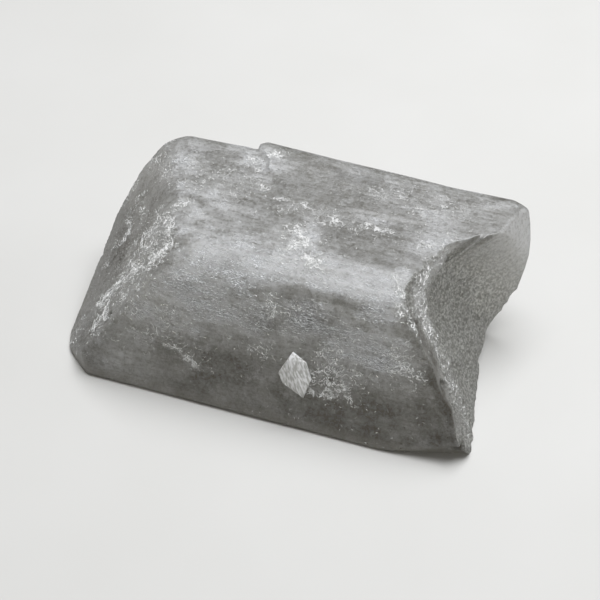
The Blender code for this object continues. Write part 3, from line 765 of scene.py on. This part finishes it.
def break_zones(points):
    """Parts of the broken end, each from 0 to 1: all of it, its shoulder, lip (partly painted light),
    cleft and seam.
    """
    end = smooth_step(*BREAK_SKIN, break_field(points))
    wavy = points + 0.5 * bends(points, 1.8, 36)
    lip_and_light, cleft, seam = (band(wavy, path, width) for path, width in (LIP_AND_LIGHT, CLEFT, SEAM))
    return end, end * shoulder_share(*section_place(points)), lip_and_light, cleft * (1.0 - 0.6 * lip_and_light), seam


def cloudiness(points):
    """Milk in the prism's skin: the clouds, times a drifting noise, and a torn film that is denser
    towards the top, in part as painted light that makes the top lighter."""
    drift = 1.15 + 0.9 * noise(points, (5.0, 2.2, 2.2), 40) + 0.7 * noise(points, (2.2, 0.9, 0.9), 41)
    film = smooth_step(0.05, 0.75, noise(points, (8.0, 3.2, 3.2), 43) + 0.4 * noise(points, 2.0, 44))
    # Partly painted light: the film thickens with height, so the top is lighter.
    upper = smooth_step(*FILM_AND_TOP_LIGHT_HEIGHTS, points[:, 2])
    return blobs(points, CLOUDS) * drift + (0.17 + 0.23 * upper) * (0.45 + 0.9 * film)


def clearness_and_front_shade(points, front, shreds):
    """Where the prism's skin is clear, painted dark as shade: in the windows, in some shreds, and low
    on the front face, as the side in shade.
    """
    window = blobs(points, WINDOWS) * (1.0 + 0.5 * noise(points, 2.5, 42))
    window = np.maximum(window, 0.45 * smooth_step(0.0, 0.9, shreds))
    # Painted shade: low on the front face, which is the side the overhead light reaches least.
    lower = front * (1.0 - smooth_step(*PAINTED_SHADE_HEIGHTS, points[:, 2]))
    lower = PAINTED_FRONT_SHADE * lower * smooth_step(*PAINTED_SHADE_FROM, points[:, 0])
    return np.maximum(window, lower * (1.0 + 0.8 * noise(points, 3.0, 46)))


def crystal_masks(points, normals):
    """Where the crystal is what, each mask from 0 to 1.

    Granular where broken; clouded where milky, and denser towards the top and on the lip, in part as
    painted light;
    painted shade where the clear inside is painted dark, in the cleft and low on the front face;
    crushed or etched where scarred; a painted glow of light through the thin edges at the rim; and the
    chisel face and the base. Each is made of soft zones, multiplied or the larger of two, and noise
    breaks their edges up.
    """
    end, shoulder, lip_and_light, cleft, seam = break_zones(points)
    whole = 1.0 - end
    front = smooth_step(0.3, 0.7, -normals[:, 1])
    chisel = smooth_step(0.75, 0.95, normals @ np.array(CHISEL_UPPER[0]))
    chisel = chisel * smooth_step(-1.5, -0.5, plane_field(points, CHISEL_UPPER))
    shreds = noise(points, (4.0, 2.6, 2.6), 48) + 0.5 * noise(points, 1.3, 49)
    patchy = 0.75 + 0.8 * noise(points, 1.0, 45)
    # The lip is partly painted light: its milk lightens the pan's shaded wall.
    milk = np.maximum(cloudiness(points) * whole,
                      end * (0.95 * shoulder + (0.75 * lip_and_light + 0.30 * seam) * patchy))
    milk = (milk + 0.30 * smooth_step(0.0, 0.9, -shreds) * whole) * (1.0 - 0.5 * chisel)
    painted_shade = np.maximum(clearness_and_front_shade(points, front, shreds) * whole, 1.3 * cleft)
    scar = np.maximum(bruise_mask(points), blobs(points, ETCHED) * (0.8 + noise(points, 2.0, 47)))
    # The lip's white marks are partly painted light as well.
    scar = np.maximum(scar, end * (0.80 * lip_and_light + 0.26 * seam) - 0.12) * (1.0 - 0.8 * cleft)
    # Painted glow of light through the thin edges, along the foot of the front and the lower chisel
    # edge.
    rim = front * (1.0 - smooth_step(0.6, 2.6, points[:, 2]))
    rim = np.maximum(rim, smooth_step(-2.2, -0.4, plane_field(points, CHISEL_LOWER)))
    named = {"broken": end * (1.0 - 0.9 * shoulder) * (1.0 - 0.9 * cleft) * (1.0 - 0.6 * lip_and_light),
             "milk": milk, "painted_shade": painted_shade * (1.0 - 0.4 * rim), "scar": scar, "rim": rim * whole,
             "chisel": chisel, "under": smooth_step(0.80, 0.95, -normals[:, 2])}
    return {label: np.clip(values, 0.0, 1.0) for label, values in named.items()}


def crystal_relief(points, normals, masks, sizes):
    """Height to add along the normal, in mm.

    Prism faces: noise stretched along X, cut into terraces, plus finer lines and slow waves.
    Chisel face: ridges where noise crosses 0. Everywhere: pits where noise is high, a frosted
    mottle, ledges and bruises. Broken end: two sizes of grain. The base stays flat.
    """
    lengthwise = 1.0 - smooth_step(0.25, 0.60, np.abs(normals[:, 0]))
    prism = lengthwise * (1.0 - masks["broken"])
    width = sizes.terrace_width / MM
    level = 2.0 * noise(points, (20.0, width, width), 50) + 0.8 * noise(points, (6.0, 1.2, 1.2), 51)
    step = np.floor(level) + smooth_step(0.2, 0.8, level - np.floor(level))
    fine = sizes.striation_width / MM
    lines = noise(points, (9.0, fine, fine), 52) + 0.6 * noise(points, (5.0, fine / 2, fine / 2), 53)
    height = prism * (sizes.terrace / MM * step + sizes.striation / MM * lines)
    height += sizes.undulation / MM * noise(points, (14.0, 8.0, 8.0), 54)
    height += 0.5 * sizes.striation / MM * noise(points, 0.7, 62)
    squiggle = 1.0 - np.abs(noise(points, 1.7, 55)) * 2.4
    finer = 1.0 - np.abs(noise(points, 0.9, 56)) * 2.4
    etched = masks["chisel"] * (np.clip(squiggle, 0, 1) + 0.6 * np.clip(finer, 0, 1))
    height += sizes.etching / MM * etched
    height -= sizes.pit / MM * smooth_step(0.42, 0.75, noise(points, (1.2, 0.8, 0.8), 57))
    height += ledge_relief(points, normals)
    height -= BRUISE_DEPTH * masks["scar"] * (0.6 + noise(points, 0.6, 58))
    rough = noise(points, 0.8, 59) + 0.7 * noise(points, 0.45, 60)
    height += masks["broken"] * (sizes.grain / MM * rough - height)
    return height * (1.0 - masks["under"])


def bud_relief(points):
    """Height of the small crystal's growth lines: noise that is long along its length."""
    turned = points @ np.stack((BUD_AXIS, *front_axes()), axis=1)
    return BUD_LINE_HEIGHT * noise(turned, (3.0, 0.35, 0.35), 61)


def cast_bud():
    """Points on the small crystal's surface and the quads between them: rays from its centre
    through the lattice points of a box."""
    lattice, quads = box_grid(BUD_GRID)
    share = 2.0 * lattice / np.array(BUD_GRID) - 1.0
    outward = front_axes()[1]
    crosswise = np.cross(outward, BUD_AXIS)
    course = (share[:, :1] * BUD_LENGTH * BUD_AXIS + share[:, 1:2] * BUD_WIDTH * crosswise
              + share[:, 2:] * BUD_RISE * outward)
    return meet(bud_field, BUD_PLACE, course, 0.0, 1.6), quads


def new_piece(name, points, faces, masks=None):
    """A mesh object at the origin from millimetre points, with a float attribute for each mask."""
    mesh = bpy.data.meshes.new(name)
    mesh.vertices.add(len(points))
    mesh.loops.add(faces.size)
    mesh.polygons.add(len(faces))
    mesh.vertices.foreach_set("co", (points * MM).astype(np.float32).ravel())
    mesh.loops.foreach_set("vertex_index", faces.astype(np.int32).ravel())
    mesh.polygons.foreach_set("loop_start", np.arange(0, faces.size, faces.shape[1], dtype=np.int32))
    mesh.update(calc_edges=True)
    mesh.validate()
    for label, values in (masks or {}).items():
        attribute = mesh.attributes.new(label, "FLOAT", "POINT")
        attribute.data.foreach_set("value", values.astype(np.float32))
    mesh.polygons.foreach_set("use_smooth", np.ones(len(faces), bool))
    piece = bpy.data.objects.new(name, mesh)
    bpy.context.scene.collection.objects.link(piece)
    return piece


def add(tree, kind, inputs=None, output=None, **settings):
    """Add a shader node and return one of its outputs, by default the first in use.

    An input is linked if it is given a socket, else set.
    """
    node = tree.nodes.new("ShaderNode" + kind)
    for name, value in settings.items():
        setattr(node, name, value)
    for key, value in (inputs or {}).items():
        if isinstance(value, bpy.types.NodeSocket):
            tree.links.new(value, node.inputs[key])
        else:
            node.inputs[key].default_value = value
    if output:
        return node.outputs[output]
    return next((socket for socket in node.outputs if socket.enabled), None)


def new_material(name):
    """A node material that holds only its object coordinates, with its tree and those."""
    material = bpy.data.materials.new(name)
    material.use_nodes = True
    tree = material.node_tree
    tree.nodes.clear()
    return material, tree, add(tree, "TexCoord", output="Object")


def etched_veins(tree, where):
    """Etched filaments, 0.1 to 0.2 mm wide: lines where a warped noise crosses its middle."""
    veins = 0.0
    for spacing, detail, roughness, distortion, reach, strength in FILAMENTS:
        warped = add(tree, "TexNoise", {"Vector": where, "Scale": 1 / (spacing * MM), "Detail": detail,
                                        "Roughness": roughness, "Distortion": distortion})
        offset = add(tree, "Math", {0: warped, 1: 0.5}, operation="SUBTRACT")
        offset = add(tree, "Math", {0: offset}, operation="ABSOLUTE")
        line = add(tree, "MapRange", {"Value": offset, "From Max": reach, "To Min": strength,
                                      "To Max": 0.0}, interpolation_type="SMOOTHSTEP")
        veins = add(tree, "Math", {0: line, 1: veins}, operation="MAXIMUM")
    return veins


def white_marks(tree, masks, milk, veins, specks_and_glints):
    """White: threads and specks in the clouds, the specks partly painted glints, bruises, and etched
    lines on the chisel face.
    """
    threads = add(tree, "Math", {0: veins, 1: milk}, operation="MULTIPLY")
    loose = add(tree, "Math", {0: specks_and_glints, 1: threads}, operation="MAXIMUM")
    loose = add(tree, "Math", {0: loose, 1: LOOSE_WHITE}, operation="MULTIPLY")
    drawn = add(tree, "Math", {0: veins, 1: specks_and_glints}, operation="MAXIMUM")
    scar = add(tree, "Math", {0: masks["scar"], 1: drawn}, operation="MULTIPLY")
    etched = add(tree, "Math", {0: masks["chisel"], 1: veins}, operation="MULTIPLY")
    etched = add(tree, "Math", {0: etched, 1: ETCHED_WHITE}, operation="MULTIPLY")
    white = add(tree, "Math", {0: scar, 1: etched}, operation="MAXIMUM")
    return add(tree, "Math", {0: white, 1: loose}, operation="MAXIMUM")


def frosted_danburite(colours):
    """Danburite, grown and naturally etched.

    The skin is frosted, with faint growth lines along the prism and milky clouds just under it.
    Where there are no clouds it is painted darker, as shade for the inside seen through it. Crushed
    and etched lines are white.
    The broken end is grainy, with bright grains painted as glints, and thin edges have a faint brown
    painted glow.
    """
    material, tree, where = new_material("danburite_frosted")
    masks = {label: add(tree, "Attribute", output="Fac", attribute_name=label)
             for label in MASKS[:-1]}

    # Growth lines are 0.1 to 0.5 mm wide and run the length of the prism. The narrowest don't show,
    # so they are drawn 0.5 mm wide here, with finer detail in them.
    stretched = add(tree, "Mapping", {"Vector": where, "Scale": (2.6 * MM, 0.5 * MM, 0.5 * MM)},
                    vector_type="TEXTURE")
    streaks = add(tree, "TexNoise",
                  {"Vector": stretched, "Scale": 1.0, "Detail": 5.0, "Roughness": 0.62})
    # The frosting is a skin of etch pits 0.05 mm wide, seen together as a mottle of about 0.6 mm.
    mottle = add(tree, "TexNoise",
                 {"Vector": where, "Scale": 1 / (0.6 * MM), "Detail": 4.0, "Roughness": 0.75,
                  "Distortion": 0.6})
    # Grains of the break are 0.3 to 0.5 mm across.
    grit = add(tree, "TexNoise",
               {"Vector": where, "Scale": 1 / (0.42 * MM), "Detail": 3.0, "Roughness": 0.8})

    # The pattern of the whole skin, and from it and the other noises: how dense the milk is, how
    # patchy the painted-shade clear places are, the tone, the bright grains painted as glints, and the
    # roughness.
    weave = add(tree, "Mix", {0: MOTTLE_SHARE, 2: streaks, 3: mottle}, data_type="FLOAT")
    shares = []
    for source, low, high, start, end in (
            (weave, 0.38, 0.60, 0.30, 1.45), (mottle, 0.35, 0.65, 1.1, 0.7),
            (weave, 0.40, 0.60, 0.0, 1.0), (grit, 0.45, 0.60, 0.0, 1.0),
            (weave, 0.35, 0.65, *SATIN)):
        shares.append(add(tree, "MapRange", {"Value": source, "From Min": low, "From Max": high,
                                             "To Min": start, "To Max": end}))
    density, patches, tone, painted_glint, rough = shares
    # White specks of the frosting, partly painted glints.
    specks_and_glints = add(tree, "MapRange", {"Value": mottle, "From Min": 0.66, "From Max": 0.74},
                 interpolation_type="SMOOTHSTEP")
    milk = add(tree, "Math", {0: masks["milk"], 1: density}, operation="MULTIPLY", use_clamp=True)
    # Painted shade: the deep colour darkens the clear windows, the cleft and the low front face.
    painted_shade = add(tree, "Math", {0: masks["painted_shade"], 1: patches}, operation="MULTIPLY", use_clamp=True)
    white = white_marks(tree, masks, milk, etched_veins(tree, where), specks_and_glints)

    # Colours, one over the other.
    # Painted glow of light through the thin edges.
    edge = add(tree, "Math", {0: masks["rim"], 1: GLOW_RIM_SHARE}, operation="MULTIPLY")
    grainy = add(tree, "Math", {0: masks["broken"], 1: GRAIN_SHARE}, operation="MULTIPLY")
    # Painted glints: grains of the break painted near white where they would catch the light.
    grains = add(tree, "Mix", {0: painted_glint, 6: colours.broken, 7: colours.painted_glint},
                 data_type="RGBA")
    skin = colours.shade
    for share, colour in ((tone, colours.clear), (milk, colours.milky), (painted_shade, colours.painted_deep_shade),
                          (edge, colours.rim), (grainy, grains), (white, colours.bruised)):
        skin = add(tree, "Mix", {0: share, 6: skin, 7: colour}, data_type="RGBA")

    # Milk and crushed lines are rougher. Crushed lines are sunk and the break's grains stand up.
    cloudy = add(tree, "Math", {0: milk, 1: 0.22, 2: rough}, operation="MULTIPLY_ADD")
    rough = add(tree, "Math", {0: white, 1: 0.3, 2: cloudy}, operation="MULTIPLY_ADD",
                use_clamp=True)
    relief = add(tree, "Math", {0: masks["broken"], 1: grit, 2: weave}, operation="MULTIPLY_ADD")
    relief = add(tree, "Math", {0: white, 1: -0.3, 2: relief}, operation="MULTIPLY_ADD")
    bump = add(tree, "Bump", {"Height": relief, "Strength": BUMP, "Distance": 0.25 * MM})

    surface = add(tree, "BsdfPrincipled",
                  {"Base Color": skin, "Roughness": rough, "Normal": bump, "IOR": DANBURITE_IOR,
                   "Transmission Weight": TRANSMISSION})
    depth = add(tree, "VolumeAbsorption", {"Color": colours.depth, "Density": DEPTH_DENSITY})
    add(tree, "OutputMaterial", {"Surface": surface, "Volume": depth})
    return material


def pale_danburite(colours):
    """A small, younger danburite crystal: milky, with silky growth lines 0.1 to 0.3 mm wide along
    its length, which are drawn 0.28 mm wide."""
    material, tree, where = new_material("danburite_small")
    turned = add(tree, "Mapping",
                 {"Vector": where, "Rotation": (0.0, math.radians(-BUD_TURN_DEG), 0.0),
                  "Scale": (6.0 * MM, 0.28 * MM, 0.28 * MM)}, vector_type="TEXTURE")
    silk = add(tree, "TexNoise", {"Vector": turned, "Scale": 1.0, "Detail": 4.0})
    tone = add(tree, "MapRange", {"Value": silk, "From Min": 0.42, "From Max": 0.58})
    skin = add(tree, "Mix", {0: tone, 6: colours.silk, 7: colours.milky}, data_type="RGBA")
    bump = add(tree, "Bump", {"Height": silk, "Strength": BUD_BUMP, "Distance": 0.15 * MM})
    surface = add(tree, "BsdfPrincipled",
                  {"Base Color": skin, "Roughness": BUD_SATIN, "Normal": bump, "IOR": DANBURITE_IOR,
                   "Transmission Weight": BUD_TRANSMISSION})
    add(tree, "OutputMaterial", {"Surface": surface})
    return material


def studio_floor(colours):
    """Matt painted board: plain and pale, with a faint mottle so it isn't one flat colour."""
    material, tree, where = new_material("matt_board")
    mottle = add(tree, "TexNoise", {"Vector": where, "Scale": 30.0, "Detail": 3.0})
    tone = add(tree, "Mix", {0: mottle, 6: colours.floor, 7: linear(FLOOR_MOTTLE)},
               data_type="RGBA")
    surface = add(tree, "BsdfPrincipled",
                  {"Base Color": tone, "Roughness": 0.8, "Specular IOR Level": 0.2})
    add(tree, "OutputMaterial", {"Surface": surface})
    return material


def crushed_white(name, tone, roughness):
    """Danburite crushed to powder or opened by hair cracks, which scatter all the light.

    It is white and dull, with a faint mottle of 1.5 mm where the powder is coarser.
    """
    material, tree, where = new_material(name)
    mottle = add(tree, "TexNoise", {"Vector": where, "Scale": 1 / (1.5 * MM), "Detail": 2.0})
    colour = add(tree, "Mix", {0: mottle, 6: linear(POWDER_SHADE), 7: linear(tone)}, data_type="RGBA")
    surface = add(tree, "BsdfPrincipled",
                  {"Base Color": colour, "Roughness": roughness, "IOR": DANBURITE_IOR})
    add(tree, "OutputMaterial", {"Surface": surface})
    return material


def cut_splinters(places, courses, outward, lengths, widths, thickness):
    """Points and triangles of thin splinters, 4 points and 4 triangles each.

    A splinter's two tips are half its length ahead and behind along its course, half the thickness
    down; its two sides are half its width to either hand, half the thickness up. None reaches below
    the base.
    """
    outward = unit(outward)
    across = unit(np.cross(outward, courses))
    along = np.cross(across, outward) * lengths[:, None] / 2
    across = across * widths[:, None] / 2
    up = outward * thickness / 2
    points = np.stack((places - along - up, places + along - up, places + across + up,
                       places - across + up), axis=1)
    corners = np.array(((0, 1, 2), (1, 0, 3), (2, 3, 0), (3, 2, 1)))
    triangles = corners[None] + (np.arange(len(places)) * 4)[:, None, None]
    points = points.reshape(-1, 3)
    points[:, 2] = np.maximum(points[:, 2], 0.0)
    return points, triangles.reshape(-1, 3)


def skin_samples(count, rng):
    """Places spread evenly over the crystal's skin, with their normals and masks.

    A quad is picked by its share of the running sum of areas; the place is the corners weighted
    by (1-u)(1-v), u(1-v), uv and (1-u)v, and normals and masks are weighted the same way.
    """
    mesh = bpy.data.objects["danburite_surface"].data
    total = len(mesh.vertices)
    points, normals = np.empty(total * 3, np.float32), np.empty(total * 3, np.float32)
    corners = np.empty(len(mesh.polygons) * 4, np.int32)
    mesh.vertices.foreach_get("co", points)
    mesh.vertex_normals.foreach_get("vector", normals)
    mesh.loops.foreach_get("vertex_index", corners)
    points = points.reshape(-1, 3).astype(float) / MM
    corners = corners.reshape(-1, 4)
    a, b, c, d = (points[corners[:, side]] for side in range(4))
    area = np.cumsum(np.linalg.norm(np.cross(c - a, d - b), axis=1))
    quad = corners[np.searchsorted(area, rng.random(count) * area[-1])]
    u, v = rng.random((2, count))
    share = np.stack(((1 - u) * (1 - v), u * (1 - v), u * v, (1 - u) * v), axis=1)[..., None]
    places = (points[quad] * share).sum(axis=1)
    outward = unit((normals.reshape(-1, 3)[quad] * share).sum(axis=1))
    masks = {}
    for label in MASKS:
        values = np.empty(total, np.float32)
        mesh.attributes[label].data.foreach_get("value", values)
        masks[label] = (values[quad] * share[..., 0]).sum(axis=1)
    return places, outward, masks


def vein_level(points):
    """The noise whose zero lines the crushed splinters follow."""
    return noise(points, (1.5, 1.2, 1.2), 70) + 0.5 * noise(points, 0.6, 71)


def crushed_chance(points):
    """How likely a crushed splinter is where the skin is scarred: high near a vein line."""
    line = np.exp(-(vein_level(points) / VEIN_WIDTH) ** 2)
    patch = smooth_step(-0.1, 0.5, noise(points, (3.0, 2.0, 2.0), 72))
    return 0.03 + 0.97 * line * (0.12 + 0.88 * patch)


def needle_chance(points, outward, masks):
    """How likely a white needle is: on the prism's faces, in the clouds and in long streaks."""
    streak = smooth_step(0.0, 0.5, noise(points, (6.0, 1.0, 1.0), 74))
    prism = 1.0 - smooth_step(0.3, 0.6, np.abs(outward[:, 0]))
    # More needles higher up, partly painted light that makes the top lighter.
    upper = smooth_step(9.0, 20.0, points[:, 2])
    cloudy = smooth_step(0.3, 1.0, masks["milk"]) ** 1.5 + 0.04 * upper * (1.0 - masks["painted_shade"])
    chance = cloudy * (0.25 + 0.75 * streak)
    return chance * prism * (1.0 - masks["under"]) * (1.0 - masks["broken"])


def dress(piece, material):
    """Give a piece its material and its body."""
    piece.data.materials.append(material)
    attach(piece, BODY)


def light_studio(scene):
    """Soft light from all round, a large light overhead and a faint one from the side."""
    studio = scene.danburite_studio
    world = bpy.data.worlds.new("soft_studio")
    world.use_nodes = True
    background = world.node_tree.nodes["Background"]
    background.inputs["Color"].default_value = linear(WORLD_COLOUR)
    background.inputs["Strength"].default_value = studio.fill
    scene.world = world
    scene.view_settings.view_transform = "Standard"
    for name, place, size, share in LAMPS:
        lamp = bpy.data.lights.new(name, "AREA")
        lamp.shape = "SQUARE"
        lamp.size = size
        lamp.energy = studio.key * share
        lamp.color = linear(LAMP_COLOUR)[:3]
        light = bpy.data.objects.new(name, lamp)
        light.location = place
        light.rotation_euler = (-Vector(place)).to_track_quat("-Z", "Y").to_euler()
        scene.collection.objects.link(light)


def aim_camera(scene):
    """A camera that looks down on the crystal from the front."""
    lens = bpy.data.cameras.new("camera")
    lens.lens = LENS
    lens.sensor_width = SENSOR
    lens.clip_start = 10 * MM
    camera = bpy.data.objects.new("camera", lens)
    studio = scene.danburite_studio
    a, e = studio.azimuth, studio.elevation
    back = Vector((math.sin(a) * math.cos(e), -math.cos(a) * math.cos(e), math.sin(e)))
    camera.location = Vector(SHAPE_TO_FRAME + CAMERA_TARGET) * MM + back * studio.distance
    camera.rotation_euler = back.to_track_quat("Z", "Y").to_euler()
    scene.collection.objects.link(camera)
    scene.camera = camera


class DANBURITE_OT_crushed(bpy.types.Operator):
    """Scatter crushed white splinters over the bruises of the skin"""

    bl_idname = "danburite.crushed"
    bl_label = "Crushed flakes"

    def execute(self, context):
        rng = np.random.default_rng(context.scene.danburite_studio.seed)
        places, outward, masks = skin_samples(CRUSHED_TRIES, rng)
        patch = smooth_step(0.0, 0.45, noise(places, (5.0, 3.0, 3.0), 73))
        scarred = np.maximum(masks["scar"], CRUSHED_CHISEL * masks["chisel"] * patch)
        scarred += CRUSHED_ANYWHERE * (1.0 - masks["broken"])
        kept = rng.random(len(places)) < scarred * (1.0 - masks["under"]) - 0.02 * masks["broken"]
        places, outward, scarred = places[kept], outward[kept], scarred[kept]
        kept = rng.random(len(places)) < crushed_chance(places) + 0.5 * smooth_step(0.86, 1.0, scarred)
        places, outward = places[kept][:SPLINTER_LIMIT], outward[kept][:SPLINTER_LIMIT]
        course = unit(np.cross(outward, slopes(places, vein_level, VEIN_REACH)))
        total = len(places)
        outward = outward + rng.normal(size=(total, 3)) * CRUSHED_LEAN
        places = places + outward * PROUD
        lengths = rng.uniform(*CRUSHED_LENGTHS, total)
        widths = CRUSHED_WIDTHS[0] + CRUSHED_WIDTHS[1] * rng.random(total) ** 2
        splinters = cut_splinters(places, course, outward, lengths, widths, CRUSHED_THICKNESS)
        piece = new_piece("crushed_flakes", *splinters)
        dress(piece, crushed_white("danburite_crushed", "#F8F8F6", 0.7))
        return {"FINISHED"}


class DANBURITE_OT_needles(bpy.types.Operator):
    """Scatter white needles, the open growth lines of the clouds, at and just under the skin"""

    bl_idname = "danburite.needles"
    bl_label = "White needles"

    def execute(self, context):
        rng = np.random.default_rng(context.scene.danburite_studio.seed + 1)
        places, outward, masks = skin_samples(NEEDLE_TRIES, rng)
        kept = rng.random(len(places)) < needle_chance(places, outward, masks)
        places, outward = places[kept][:SPLINTER_LIMIT], outward[kept][:SPLINTER_LIMIT]
        milk = masks["milk"][kept][:SPLINTER_LIMIT]
        total = len(places)
        places = places + outward * (PROUD - rng.random(total) ** 2 * NEEDLE_DEPTH)[:, None]
        course = ALONG + rng.normal(size=(total, 3)) * NEEDLE_TURN
        outward = outward + rng.normal(size=(total, 3)) * NEEDLE_LEAN
        lengths = rng.uniform(*NEEDLE_LENGTHS, total)
        widths = rng.uniform(*NEEDLE_WIDTHS, total) * (0.6 + 0.6 * milk * milk)
        splinters = cut_splinters(places, course, outward, lengths, widths, NEEDLE_THICKNESS)
        piece = new_piece("white_needles", *splinters)
        dress(piece, crushed_white("danburite_veil", "#FAFBFD", 0.6))
        return {"FINISHED"}


class DANBURITE_OT_crystal(bpy.types.Operator):
    """Build the crystal's surface in place of its plain solid"""

    bl_idname = "danburite.crystal"
    bl_label = "Crystal"

    def execute(self, context):
        sizes = context.scene.danburite_sizes
        base, quads = cast_surface(sizes.density * (1.0))
        normals = unit(slopes(base, crystal_field, NORMAL_REACH))
        masks = crystal_masks(base, normals)
        height = crystal_relief(base, normals, masks, sizes)
        points = base + normals * height[:, None]
        points[:, 2] = np.maximum(points[:, 2], 0.0)
        piece = new_piece("danburite_surface", points + SHAPE_TO_FRAME, quads, masks)
        dress(piece, frosted_danburite(context.scene.danburite_colours))
        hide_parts(NODE)
        return {"FINISHED"}


class DANBURITE_OT_bud(bpy.types.Operator):
    """Build the small crystal that grew on the front face"""

    bl_idname = "danburite.bud"
    bl_label = "Small crystal"

    def execute(self, context):
        base, quads = cast_bud()
        normals = unit(slopes(base, bud_field, NORMAL_REACH))
        points = base + normals * bud_relief(base)[:, None]
        piece = new_piece("small_crystal", points + SHAPE_TO_FRAME, quads)
        dress(piece, pale_danburite(context.scene.danburite_colours))
        return {"FINISHED"}


class DANBURITE_OT_stage(bpy.types.Operator):
    """Build the floor, the lights and the camera"""

    bl_idname = "danburite.stage"
    bl_label = "Stage"

    def execute(self, context):
        scene = context.scene
        corners = np.array(((-1, -1, 0), (1, -1, 0), (1, 1, 0), (-1, 1, 0))) * FLOOR_HALF
        corners[:, 2] -= FLOOR_GAP
        floor = new_piece("studio_floor", corners, np.array([[0, 1, 2, 3]]))
        floor.data.materials.append(studio_floor(scene.danburite_colours))
        light_studio(scene)
        aim_camera(scene)
        return {"FINISHED"}


class DANBURITE_PT_panel(bpy.types.Panel):
    """Sizes, colours and build buttons"""

    bl_label = "Danburite"
    bl_idname = "DANBURITE_PT_panel"
    bl_space_type = "VIEW_3D"
    bl_region_type = "UI"
    bl_category = "Danburite"

    def draw(self, context):
        scene = context.scene
        for group in (scene.danburite_sizes, scene.danburite_colours, scene.danburite_studio):
            box = self.layout.box()
            for key in group.__annotations__:
                box.prop(group, key)
        for operator in (DANBURITE_OT_crystal, DANBURITE_OT_bud, DANBURITE_OT_crushed,
                         DANBURITE_OT_needles, DANBURITE_OT_stage):
            self.layout.operator(operator.bl_idname)


CLASSES = (DanburiteSizes, DanburiteColours, DanburiteStudio, DANBURITE_OT_crystal, DANBURITE_OT_bud,
           DANBURITE_OT_crushed, DANBURITE_OT_needles, DANBURITE_OT_stage, DANBURITE_PT_panel)


def register():
    for item in CLASSES:
        bpy.utils.register_class(item)
    bpy.types.Scene.danburite_sizes = PointerProperty(type=DanburiteSizes)
    bpy.types.Scene.danburite_colours = PointerProperty(type=DanburiteColours)
    bpy.types.Scene.danburite_studio = PointerProperty(type=DanburiteStudio)


def unregister():
    del bpy.types.Scene.danburite_studio
    del bpy.types.Scene.danburite_colours
    del bpy.types.Scene.danburite_sizes
    for item in reversed(CLASSES):
        bpy.utils.unregister_class(item)


def main():
    """Build everything."""
    register()
    bpy.ops.danburite.crystal()
    bpy.ops.danburite.bud()
    bpy.ops.danburite.crushed()
    bpy.ops.danburite.needles()
    bpy.ops.danburite.stage()


if __name__ == "__main__":
    main()
